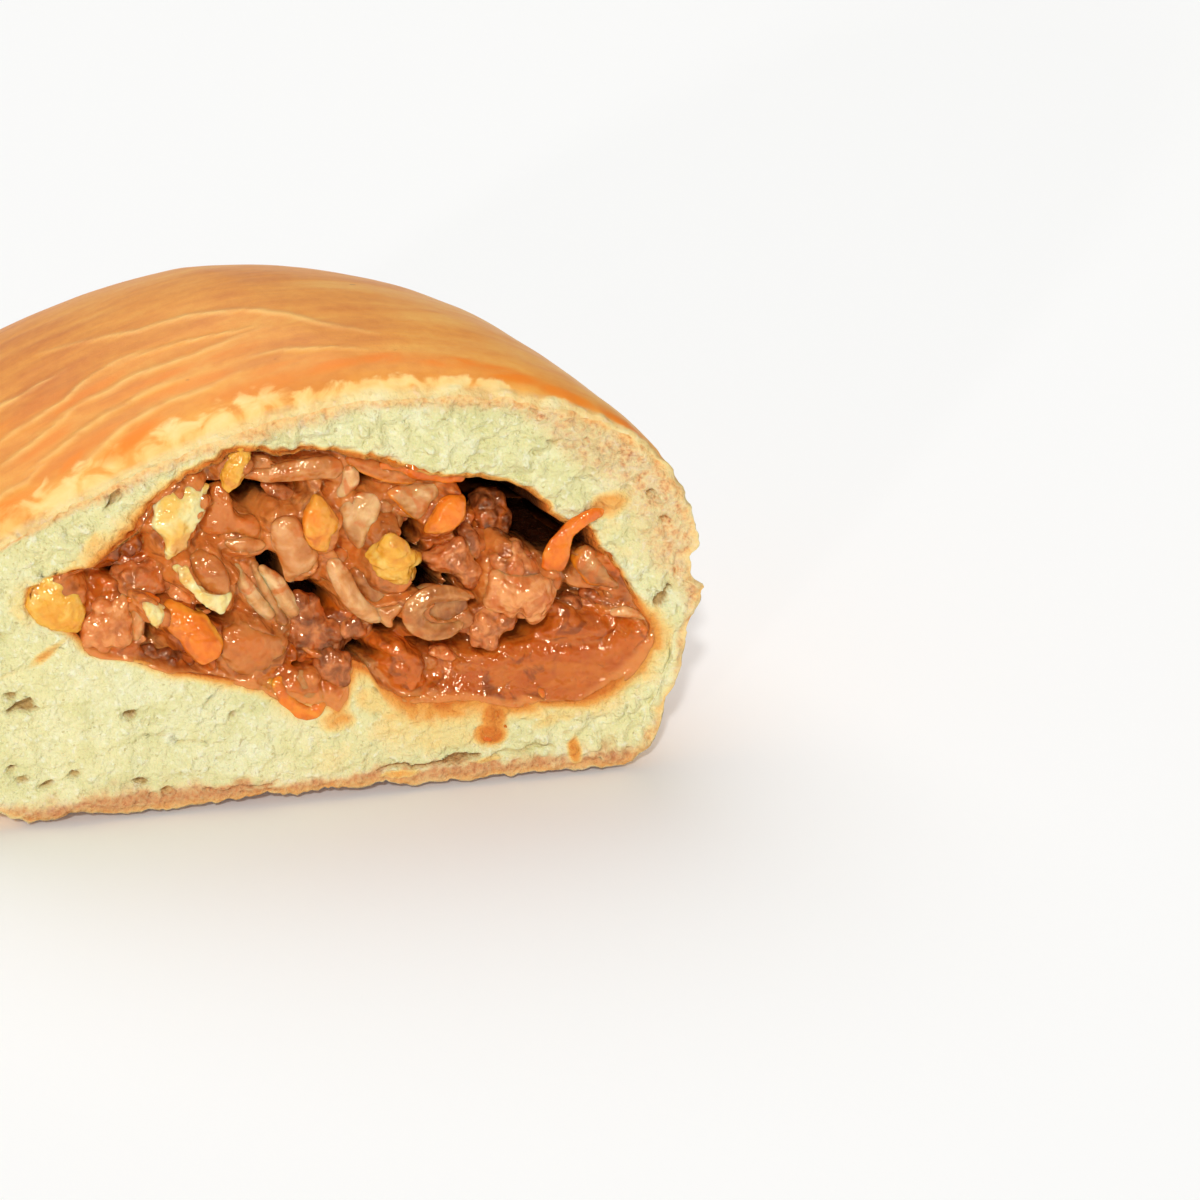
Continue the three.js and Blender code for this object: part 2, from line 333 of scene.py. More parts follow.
# Scoops torn out of the lower edge: across, half width and height.
BASE_SCOOPS = [(-20.0, 1.4, 0.6), (-3.4, 3.4, 0.35), (4.0, 4.2, 0.5)]
# Small pores of the crumb: how many, over which part of the cut, and their sizes.
PORES, PORE_ACROSS, PORE_UP, PORE_SIZE, PORE_SPREAD = 150, (-43, 36), (0.5, 39), 0.2, 0.22
# Wrinkles of the crust: their spacing, their length, and how far behind the cut they reach.
WRINKLE_GAP, WRINKLE_RUN, WRINKLE_REACH = 6.2, 26.0, 21.0
WRINKLE_WIDTH, WRINKLE_RISE, TROUGH_RISE, TROUGH_ROUND = 0.085, 0.04, 0.3, 0.012
RIDGE_RISE = 0.1
# Pale ridges of the crust: paths across and behind the cut, and a half width.
RIDGES = [
    ([(-22.0, 10.6), (-18.5, 11.4), (-15.8, 11.5), (-12.6, 11.8), (-7.6, 11.4), (-4.4, 12.0),
        (0, 12.4)], 0.5),
    ([(-25.0, 8.4), (-22.4, 9.3), (-19.1, 10.6), (-16.9, 11.8)], 0.45),
    ([(-21.5, 0.6), (-17.6, 2.2), (-16.2, 3.7), (-13.3, 5.1), (-10.1, 5.6), (-6.5, 5.5), (-3.7, 6.1)],
        0.55),
    ([(-20.0, 25.5), (-15.9, 23.4), (-11.7, 20.6), (-7.4, 19.8), (-3.7, 18.0), (-0.9, 16.7),
        (2.3, 13.8), (6.0, 10.3), (8.6, 8.8)], 0.5),
    ([(-28.0, 11.2), (-24.3, 12.4), (-21.8, 13.0), (-18.8, 13.5), (-15.8, 15.3), (-13.2, 16.4),
        (-8.7, 15.4)], 0.4),
    ([(-15.1, 15.6), (-11.5, 15.4), (-8.3, 15.1), (-3.7, 13.5), (-0.6, 12.9)], 0.35),
    ([(-23.0, 5.2), (-19.4, 6.6), (-15.2, 8.2), (-11.0, 8.6), (-7.8, 8.2)], 0.45),
    ([(-27.5, 3.0), (-24.6, 4.6), (-22.6, 4.2), (-20.4, 5.6)], 0.4),
    ([(-2.6, 8.0), (1.0, 7.6), (4.4, 6.6), (7.4, 5.8)], 0.35),
    ([(-33.0, 16.0), (-27.0, 18.6), (-22.6, 18.4), (-18.0, 19.6)], 0.4),
]
# Deep orange patches of the crust: across, behind, half sizes, tilt and strength.
GLOWING = [
    (-21.6, 14.6, 4.0, 1.5, 8, 0.75), (-16.6, 13.0, 3.2, 1.0, 12, 0.7),
    (-13.6, 3.0, 2.6, 0.9, 24, 1.0), (-24.8, 2.2, 2.6, 1.4, 0, 0.95), (-18.6, 4.2, 1.6, 0.7, 30, 0.85),
    (-12.4, 9.9, 4.2, 0.9, 0, 0.75), (-20.4, 8.6, 3.0, 0.9, 16, 0.8), (-8.0, 7.0, 3.6, 0.8, -4, 0.65),
    (-4.0, 9.8, 3.4, 1.0, 2, 0.55), (4.4, 3.7, 2.6, 0.8, 6, 0.9), (9.0, 4.3, 3.2, 0.9, 4, 1.0),
    (14.2, 3.4, 3.0, 0.9, -8, 0.95), (19.2, 2.4, 2.8, 0.9, -10, 1.0), (24.0, 1.3, 2.4, 0.8, -6, 0.9),
    (28.2, 1.1, 2.0, 0.7, 0, 1.0), (-30.0, 7.0, 3.2, 1.6, 10, 0.8), (-0.6, 5.4, 2.4, 0.6, 6, 0.5),
]

angles = even_angles(COLUMNS)
outline = body(angles, 0.0)
spoke_angles = np.arctan2(outline[:, 2] - HOLLOW_Z, outline[:, 0] - HOLLOW_X)
lip_radius = ragged_lip(spoke_angles)
lip = hollow(spoke_angles, 0.0, lip_radius)

knife_end, top_end = KNIFE_ZONE / LENGTH, TOP_ZONE / LENGTH
skin_shares = np.concatenate([
    knife_end * np.linspace(0, 1, KNIFE_ROWS + 1) ** 1.25,
    knife_end + (top_end - knife_end) * np.arange(1, TOP_ROWS + 1) / TOP_ROWS,
    top_end + (1 - top_end) * rounded_steps(END_ROWS)[1:],
])[::-1]
skin = body(angles[None], skin_shares[:, None])
face_shares = (np.arange(1, FACE_ROWS + 1) / (FACE_ROWS + 1))[:, None, None]
face = outline + (lip - outline) * face_shares
wall_depths = np.concatenate([
    LIP_ZONE * np.linspace(0, 1, LIP_ROWS) ** 1.5,
    LIP_ZONE + (HOLLOW_DEPTH - LIP_ZONE) * rounded_steps(DEEP_ROWS + 1)[1:],
])[:, None]
wall = hollow(spoke_angles, wall_depths, lip_radius * end_profile(wall_depths / HOLLOW_DEPTH, HOLLOW_ROUND))
grid = np.concatenate([skin, face, wall])

rows = np.arange(len(grid))[:, None]
on_skin = np.broadcast_to(rows < len(skin), grid.shape[:2])
on_wall = np.broadcast_to(rows >= len(skin) + FACE_ROWS, grid.shape[:2])
on_face = ~on_skin & ~on_wall
x, y, z = grid[..., 0].copy(), grid[..., 1].copy(), grid[..., 2].copy()
behind = np.where(on_face, 0, y - CUT_Y)
from_crust = np.where(on_face, np.linalg.norm(grid - outline, axis=-1), np.where(on_skin, 0, np.inf))
from_lip = np.where(on_wall, 0, np.linalg.norm(grid - lip, axis=-1))
underside = on_skin & (z < 0.05)
seam_side = smooth((14 - x) / 26)

# The skin: slow bulges, and thin raised wrinkles along the cut, strongest on the seam side, with
# shallow troughs between them.
drawn = np.stack([x / WRINKLE_RUN, (y + 1.8 * noise(grid, 9.0, 21)) / WRINKLE_GAP, z / WRINKLE_RUN], -1)
wave = noise(drawn, 1.0, 22, 2)
wrinkled = smooth(z / 9 - 0.7) * smooth(behind / 1.5) * bell(behind / WRINKLE_REACH, 4)
wrinkled = wrinkled * (0.12 + 0.88 * seam_side)
wrinkle_rise = (WRINKLE_RISE * bell(wave / WRINKLE_WIDTH)
                + TROUGH_RISE * np.sqrt(wave**2 + TROUGH_ROUND) - 0.1)
bulges = 0.4 * noise(grid, 15.0, 23) + 0.12 * noise(grid, 5.0, 24, 2)
wander = (0.5 * noise(grid, 3.0, 44, 2), 0.45 * noise(grid, 2.4, 45, 2))
ridges = np.zeros(x.shape)
for path, half_width in RIDGES:
    away, place = segment_distance(x + wander[0], y - CUT_Y + wander[1], path)
    thinned = half_width * (0.55 + 0.45 * np.sin(np.pi * place)) * (1 + 0.4 * wave)
    ridges = np.maximum(ridges, bell(away / thinned) * np.sin(np.pi * np.clip(0.08 + 0.84 * place, 0, 1)))
ridges = ridges * smooth(z / 6 - 1)
skin_rise = bulges * smooth(z / 5) + RIDGE_RISE * ridges + wrinkle_rise * wrinkled
skin_rise = np.where(underside, -0.3 * np.abs(noise(grid, 3.5, 25, 3)), skin_rise)

# The torn crumb: cottony relief, smoother low on the seam side where the dough is dense, with
# scattered pores, the larger holes and the tears.
rng = np.random.default_rng(7)
cottony = 0.45 + 0.55 * np.maximum(smooth((z - 15) / 9), smooth((x - 14) / 12))
crumb = 0.3 * noise(grid, 4.5, 31) + cottony * (
    0.3 * puffs(grid, 2.2, 32) + 0.36 * puffs(grid, 1.2, 33) + 0.22 * noise(grid, 0.7, 34))
pore_x, pore_z = rng.uniform(*PORE_ACROSS, PORES), rng.uniform(*PORE_UP, PORES)
pore_size = PORE_SIZE + PORE_SPREAD * rng.random(PORES) ** 2
pore_slant = rng.uniform(-0.8, 0.8, PORES)
face_points, face_x, face_z = grid[on_face], x[on_face], z[on_face]
pit = np.zeros(face_x.shape)
for px, pz, size, slant in zip(pore_x, pore_z, pore_size, pore_slant):
    dx, dz = face_x - px, face_z - pz - slant * (face_x - px)
    pit = np.maximum(pit, 1.3 * size * np.exp(-(((dx / 1.6) ** 2 + dz**2) / (0.6 * size**2))))
hole_wobble = 1 + 0.6 * noise(face_points, 0.8, 35)
hole_skew = 0.5 * noise(face_points, 1.7, 36)
for hx, hz, half_width, half_height, depth in CRUMB_HOLES:
    away = np.hypot((face_x - hx) / half_width, (face_z - hz + hole_skew) / half_height) * hole_wobble
    pit = np.maximum(pit, depth * smooth(1.9 - 1.5 * away))
tear_wander = 0.7 * noise(face_points, 1.5, 37) + 0.35 * noise(face_points, 0.6, 38)
for path, half_width, depth in CRUMB_TEARS:
    away, place = segment_distance(face_x + tear_wander, face_z + 0.6 * tear_wander, path)
    taper = np.sin(np.pi * np.clip(0.06 + 0.88 * place, 0, 1)) ** 0.5
    pit = np.maximum(pit, depth * smooth(1.5 - away / (half_width * (taper + 0.05))))
crumb_rise = crumb.copy()
crumb_rise[on_face] -= pit
crumb_rise = crumb_rise * smooth(0.3 + from_crust / 1.0)
low_lip = low_side(z)
crumb_rise = crumb_rise * (1 - 0.7 * low_lip * smooth(1.3 - from_lip / 2))
crumb_rise = crumb_rise - 0.5 * smooth(1 - from_lip / 0.8) * (1 - low_lip)
wall_rise = 0.35 * noise(grid, 2.5, 39, 2)

rise = np.where(on_skin, skin_rise, np.where(on_wall, wall_rise, crumb_rise))
edge_calm = np.where(on_skin & ~underside, 0.35 + 0.65 * smooth(behind), 1)
grid = grid + surface_normals(grid) * (rise * edge_calm)[..., None]

# The outline of the cut: crumbs pulled off the lower edge, and a notch and a tip on the fold side.
edge_hold = bell(behind / 2.2) * smooth(1.3 - from_crust / 2.4) * ~on_wall
fold_edge = edge_hold * smooth((x - 25) / 5)
jag = 0.35 * noise(np.stack([0 * z, 0 * z, z], -1), 0.9, 40, 2)
notch = smooth(1.7 - 1.1 * np.abs(z + jag - NOTCH_HEIGHT) / NOTCH_HALF)
grid[..., 0] -= fold_edge * NOTCH_DEPTH * notch
grid[..., 0] += fold_edge * TIP_REACH * hump(z + 0.4 * jag, TIP_HEIGHT, TIP_HALF)
grid[..., 0] -= fold_edge * DENT_DEPTH * hump(z, DENT_HEIGHT, DENT_HALF, 4)
along_base = np.stack([x, 0 * x, 0 * x], -1)
scoop = sum(height * hump(x, place, half, 4) for place, half, height in BASE_SCOOPS)
torn = 0.28 * np.clip(noise(along_base, 2.6, 41, 3), 0, None) + scoop + 0.25
torn = torn + 0.3 * np.abs(noise(along_base, 0.8, 43, 2))
grid[..., 2] += torn * bell(behind / 2.4) * smooth(1 - z / 3.0) * ~on_wall
rough_edge = 0.42 * noise(grid, 0.9, 42, 2) * np.exp(-behind / 0.9) * smooth(1 - from_crust / 0.9)
grid[..., 0] += rough_edge * np.cos(angles) * ~on_wall
grid[..., 2] = np.maximum(grid[..., 2] + rough_edge * np.sin(angles) * ~on_wall, 0)

# Masks for the colours: crumb, the band pressed down by the knife, deep orange patches and a deep
# orange rim behind that band, base crust, speckled crumb next to the crust, and sauce soaked in.
# The numbers are places across (x) and up (z), and the lengths over which a mask fades.
patch = noise(np.stack([x, y, z], -1), 7.0, 51, 2)
blotch = noise(np.stack([x / 3.2, y, z / 3.2], -1), 3.4, 52, 2)
band = 2.1 + 2.4 * smooth((3 - x) / 10) + 0.8 * hump(x, 9, 5) - 1.4 * smooth((x - 15) / 8)
band = band + 1.0 * patch + 0.6 * blotch
pressed = np.where(on_skin, smooth(1.2 - behind / np.maximum(band, 0.8)), 1)
deep_patch = 0.6 * smooth(2.2 * blotch - 0.1) * bell(behind / 14) * smooth((10 - x) / 10)
glow = spot(x + 1.2 * patch, y - CUT_Y + 0.5 * blotch, GLOWING)
orange = np.where(on_skin, np.maximum(deep_patch, glow), 0) * smooth(z / 10 - 0.5)
crumb_mask = np.where(on_skin, smooth(1 - behind / 0.7) * 0.55, smooth(from_crust / 1.2) * 0.45 + 0.55)
base_mask = np.where(on_face, smooth(1.5 - (z + 1.3 * patch + 0.9 * noise(grid, 0.9, 53)) / BASE_CRUST), 0)
rim_reach = 0.7 + 0.8 * patch + 4.4 * smooth((x - 18) / 8) * smooth((z - 14) / 8)
rim_reach = rim_reach + 0.3 * smooth((z - 24) / 6)
speckled = np.where(on_face, smooth(1.4 - from_crust / np.maximum(rim_reach, 0.3)), 0)
upper_left = smooth((2 - x) / 6) * smooth((z - 17) / 4)
lower = smooth((HOLLOW_Z - 2 - z) / 6)
under_pool = smooth((x - 12) / 5) * low_lip
reach = 0.35 + 0.3 * upper_left * (1 + patch) + 0.7 * lower * (1 + 0.8 * patch) + 1.0 * under_pool
reach = reach + 1.3 * hump(x, -18, 4) * smooth((z - 20) / 3)
reach = reach + 2.6 * hump(x, 12, 7) * low_lip
soak = bell(from_lip / reach, 1.4) * ~on_skin
# Stains of sauce on the cut: across, up, half sizes, tilt and strength.
SOAKED = [
    (12.4, 6.4, 6.4, 3.4, -6, 0.34), (10.8, 8.2, 4.6, 2.4, -14, 0.5), (13.0, 4.8, 3.6, 1.6, 0, 0.38),
    (7.0, 4.6, 8.0, 2.6, 4, 0.2), (30.0, 12.0, 2.2, 5.0, 10, 0.16), (17.3, 6.8, 1.2, 3.0, 2, 0.85),
    (16.9, 4.8, 1.5, 1.2, 0, 0.95), (23.4, 6.2, 3.2, 0.9, 20, 0.45), (27.4, 8.0, 2.6, 0.8, 34, 0.4),
    (24.8, 2.4, 0.6, 1.6, 8, 0.8), (16.6, 2.2, 1.4, 0.4, 5, 0.5), (8.4, 1.2, 1.6, 0.5, 10, 0.7),
    (27.4, 25.8, 2.0, 1.2, 20, 0.62), (28.4, 22.8, 1.2, 2.4, 30, 0.22),
    (-23.8, 21.2, 1.8, 2.2, 0, 0.3), (-17.4, 25.6, 1.4, 2.6, -50, 0.45),
    (-7.4, 32.2, 2.8, 0.9, 24, 0.7), (3.2, 7.6, 1.6, 1.2, 0, 0.6), (6.4, 9.4, 1.8, 1.6, -40, 0.5),
    (-22.4, 16.4, 2.0, 0.5, 38, 0.6), (-27.0, 14.4, 5.0, 0.4, 18, 0.2),
]
soak = np.maximum(soak, spot(x + 0.6 * patch, z + 0.5 * blotch, SOAKED) * on_face)
soak = np.where(on_wall, 1, soak)
baked = 0.5 + 0.22 * patch + 0.03 * smooth((y + 20) / 30) * smooth(z / 30) - 0.4 * smooth(1 - z / 10)
baked = baked + 0.1 * smooth((-6 - x) / 20) - 0.14 * smooth((x - 14) / 10)
# Painted shade: the wall of the hollow darkens with its depth behind the cut, where little light reaches.
hollow_shade = np.where(on_wall, smooth((y - CUT_Y) / 2.2), 0)
pitted = np.zeros(x.shape)
pitted[on_face] = np.clip(pit, 0, 1)

fields = {"crumb": crumb_mask, "pressed": pressed, "base_crust": base_mask, "speckled": speckled,
          "soak": soak, "baked": baked, "underside": underside * 1.0, "hollow": hollow_shade,
          "pit": pitted, "ridge": ridges * on_skin, "orange": orange}
fields = {name: np.concatenate([[f[0, 0]], f.ravel(), [f[-1, 0]]]) for name, f in fields.items()}
pastry = ringed_mesh(
    "baked_dough_shell",
    body(np.array([0.0]), np.array([1.0])),
    grid[None],
    hollow(0.0, np.array([HOLLOW_DEPTH]), 0.0),
    fields,
)


def srgb(red, green, blue):
    """A colour given as it shows on a screen, 0 to 255, as linear light with alpha."""
    shown = np.array([red, green, blue]) / 255
    light = np.where(shown <= 0.04045, shown / 12.92, ((shown + 0.055) / 1.055) ** 2.4)
    return (*light, 1.0)


def add_node(material, kind, inputs=None, **settings):
    """Adds a shader node, with its settings and its inputs, which are values or other sockets."""
    made = material.node_tree.nodes.new(kind)
    for key, value in settings.items():
        setattr(made, key, value)
    for key, value in (inputs or {}).items():
        if isinstance(value, bpy.types.NodeSocket):
            material.node_tree.links.new(value, made.inputs[key])
        else:
            made.inputs[key].default_value = value
    return made


def new_material(name, roughness, **sockets):
    """A material with one Principled shader, and that shader."""
    material = bpy.data.materials.new(name)
    material.use_nodes = True
    shader = material.node_tree.nodes["Principled BSDF"]
    shader.inputs["Roughness"].default_value = roughness
    for key, value in sockets.items():
        shader.inputs[key.replace("_", " ")].default_value = value
    return material, shader


def connect(material, socket, target):
    """Links one socket to another in a material."""
    material.node_tree.links.new(socket, target)


def attribute(material, name):
    """The value of one of the mesh's own attributes."""
    return add_node(material, "ShaderNodeAttribute", attribute_name=name).outputs["Fac"]


def texture(material, size, detail=3.0, stretch=(1, 1, 1), offset=(0, 0, 0), distortion=0.0):
    """Noise of a feature size in millimetres over the piece, stretched along its axes."""
    place = add_node(material, "ShaderNodeTexCoord").outputs["Object"]
    placed = add_node(
        material, "ShaderNodeMapping", {"Vector": place, "Scale": stretch, "Location": offset})
    return add_node(material, "ShaderNodeTexNoise", {
        "Vector": placed.outputs[0], "Scale": 1 / (size * MM), "Detail": detail,
        "Distortion": distortion}).outputs["Fac"]


def mix(material, factor, a, b):
    """Mixes two colours: a where the factor is 0, b where it is 1."""
    made = add_node(material, "ShaderNodeMix", {0: factor, 6: a, 7: b}, data_type="RGBA")
    return made.outputs[2]


def span(material, value, low, high, to_low=0.0, to_high=1.0):
    """Stretches a value from one range to another and holds it there."""
    return add_node(material, "ShaderNodeMapRange", {
        "Value": value, "From Min": low, "From Max": high, "To Min": to_low, "To Max": to_high,
    }, interpolation_type="SMOOTHSTEP").outputs["Result"]


def maths(material, operation, a, b):
    """One sum, product or the like of two values."""
    return add_node(material, "ShaderNodeMath", {0: a, 1: b}, operation=operation).outputs[0]


def share_of(material, name, share):
    """A share of one of the mesh's own attributes."""
    return maths(material, "MULTIPLY", attribute(material, name), share)


def ramp(material, value, stops):
    """A colour ramp of (place, colour) stops."""
    made = add_node(material, "ShaderNodeValToRGB", {"Fac": value})
    elements = made.color_ramp.elements
    while len(elements) < len(stops):
        elements.new(0.5)
    for element, (place, colour) in zip(elements, stops):
        element.position = place
        element.color = colour
    return made.outputs["Color"]


def bump(material, height, distance, strength=1.0, below=None):
    """A bump of a height in millimetres, over another one if given."""
    inputs = {"Height": height, "Distance": distance * MM, "Strength": strength}
    if below is not None:
        inputs["Normal"] = below
    return add_node(material, "ShaderNodeBump", inputs).outputs["Normal"]


dough, shader = new_material("baked_dough", 0.5, Subsurface_Weight=0.2, Subsurface_Scale=1.2 * MM,
                             Subsurface_Radius=(1.0, 0.65, 0.4), Specular_IOR_Level=0.22,
                             Specular_Tint=(1.0, 0.78, 0.5, 1.0))
broad = texture(dough, 9.0, 2.0)
fine = texture(dough, 1.1, 4.0)
grainy = texture(dough, 0.42, 3.0)
mottled = texture(dough, 2.6, 5.0, offset=(0.3, 0.6, 0.2), distortion=0.7)
streaky = texture(dough, 2.8, 4.0, stretch=(0.24, 1.0, 0.24), distortion=0.4)
patchy = texture(dough, 4.2, 4.0, stretch=(0.45, 1.0, 0.45), offset=(0.1, 0.2, 0.4), distortion=0.8)

# The crust: deeper the more it baked, deep orange patches, pale ridges, a torn golden edge where
# the knife pressed it, dark specks, and a duller underside.
level = maths(dough, "ADD", attribute(dough, "baked"), span(dough, streaky, 0.25, 0.75, -0.2, 0.2))
level = maths(dough, "ADD", level, span(dough, fine, 0.3, 0.7, -0.07, 0.07))
crust = ramp(dough, level, [
    (0.0, srgb(242, 188, 98)), (0.25, srgb(237, 170, 80)), (0.5, srgb(231, 153, 65)),
    (0.75, srgb(219, 136, 56)), (1.0, srgb(203, 116, 50))])
rim = maths(dough, "MULTIPLY", attribute(dough, "orange"), span(dough, patchy, 0.36, 0.54, 0.35, 1.0))
crust = mix(dough, rim, crust, srgb(236, 132, 34))
raised = attribute(dough, "ridge")
paled = maths(dough, "MULTIPLY", raised, span(dough, mottled, 0.3, 0.6, 0.3, 0.8))
crust = mix(dough, paled, crust, srgb(247, 198, 114))
gold = ramp(dough, mottled, [
    (0.3, srgb(238, 160, 74)), (0.44, srgb(245, 188, 104)), (0.56, srgb(246, 204, 126)),
    (0.72, srgb(244, 216, 148))])
gold = mix(dough, rim, gold, srgb(240, 150, 56))
edge = maths(dough, "ADD", attribute(dough, "pressed"), span(dough, mottled, 0.3, 0.7, -0.34, 0.34))
edge = maths(dough, "ADD", edge, span(dough, fine, 0.3, 0.7, -0.12, 0.12))
crust = mix(dough, span(dough, edge, 0.47, 0.95), crust, gold)
speck = span(dough, texture(dough, 1.6, 1.0, offset=(0.3, 0.1, 0.7)), 0.765, 0.81, 0.0, 0.6)
crust = mix(dough, speck, crust, srgb(164, 92, 48))
under = ramp(dough, broad, [(0.3, srgb(164, 102, 58)), (0.7, srgb(196, 138, 84))])
crust = mix(dough, attribute(dough, "underside"), crust, under)

# The crumb: cream with a green cast, grains, pale flecks that are painted highlights, pores and pits
# darkened as painted shade, pink and brown next to the crust, yellow to orange where the sauce soaked
# in, and painted shade that darkens it deeper inside the hollow.
pale = ramp(dough, mottled, [
    (0.3, srgb(216, 211, 154)), (0.5, srgb(228, 222, 169)), (0.7, srgb(233, 230, 190))])
# Pale flecks: painted highlights on the tufts of the crumb; the same noise also roughens its relief.
highlight_flecks = texture(dough, 0.65, 3.0, offset=(0.1, 0.9, 0.4))
pores = texture(dough, 0.6, 2.0, offset=(0.5, 0.2, 0.1))
# Pores and the pits are painted darker: painted shade inside them.
for value, low, high, most, colour in (
        (broad, 0.45, 0.66, 0.35, (236, 224, 166)), (grainy, 0.35, 0.7, 0.3, (212, 206, 142)),
        (highlight_flecks, 0.55, 0.68, 0.6, (238, 236, 206)), (pores, 0.64, 0.72, 0.5, (176, 156, 100)),
        (attribute(dough, "pit"), 0.15, 0.9, 0.75, (176, 128, 66))):
    pale = mix(dough, span(dough, value, low, high, 0.0, most), pale, srgb(*colour))
pink = ramp(dough, grainy, [
    (0.3, srgb(184, 112, 68)), (0.42, srgb(220, 154, 98)), (0.54, srgb(232, 184, 124)),
    (0.7, srgb(236, 208, 150))])
pink = mix(dough, span(dough, fine, 0.52, 0.7, 0.0, 0.5), pink, srgb(196, 128, 82))
freckled = maths(dough, "MULTIPLY", attribute(dough, "speckled"), span(dough, fine, 0.35, 0.6, 0.9, 0.45))
pale = mix(dough, freckled, pale, pink)
pale = mix(dough, share_of(dough, "base_crust", 0.85), pale, pink)
pale = mix(dough, span(dough, attribute(dough, "base_crust"), 0.5, 1.0, 0.0, 0.5), pale, srgb(192, 118, 72))
wet = maths(dough, "ADD", attribute(dough, "soak"), span(dough, mottled, 0.3, 0.7, -0.12, 0.12))
for low, high, most, colour in (
        (0.1, 0.45, 0.8, (240, 204, 124)), (0.35, 0.75, 1.0, (230, 158, 74)),
        (0.72, 1.0, 1.0, (208, 114, 42))):
    pale = mix(dough, span(dough, wet, low, high, 0.0, most), pale, srgb(*colour))
# Painted shade inside the hollow, dark brown deeper in.
pale = mix(dough, attribute(dough, "hollow"), pale, srgb(86, 44, 20))
connect(dough, mix(dough, attribute(dough, "crumb"), crust, pale), shader.inputs["Base Color"])

# Roughness: satin crust, dull crumb and underside, and wet where the sauce soaked in. The relief is
# grainy on the crumb and streaky on the crust.
roughness = mix(dough, attribute(dough, "crumb"), (0.38, 0.38, 0.38, 1), (0.85, 0.85, 0.85, 1))
roughness = mix(dough, share_of(dough, "soak", 0.8), roughness, (0.25, 0.25, 0.25, 1))
roughness = mix(dough, attribute(dough, "underside"), roughness, (0.8, 0.8, 0.8, 1))
connect(dough, roughness, shader.inputs["Roughness"])
crumb_bump = maths(dough, "MULTIPLY", maths(dough, "ADD", grainy, highlight_flecks),
                   span(dough, attribute(dough, "crumb"), 0.0, 1.0, 0.06, 1.0))
normal = bump(dough, crumb_bump, 0.32, 1.0)
normal = bump(dough, maths(dough, "ADD", streaky, raised), 0.16, 0.6, normal)
connect(dough, normal, shader.inputs["Normal"])
pastry.data.materials.append(dough)
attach(pastry, "root")
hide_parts("dough")


# --- Minced beef ---------------------------------------------------------------------------------
# Coarse mince, fried until it broke into knobbly clusters, then stewed in the sauce. These are the
# larger clusters, which stand out of the cut.

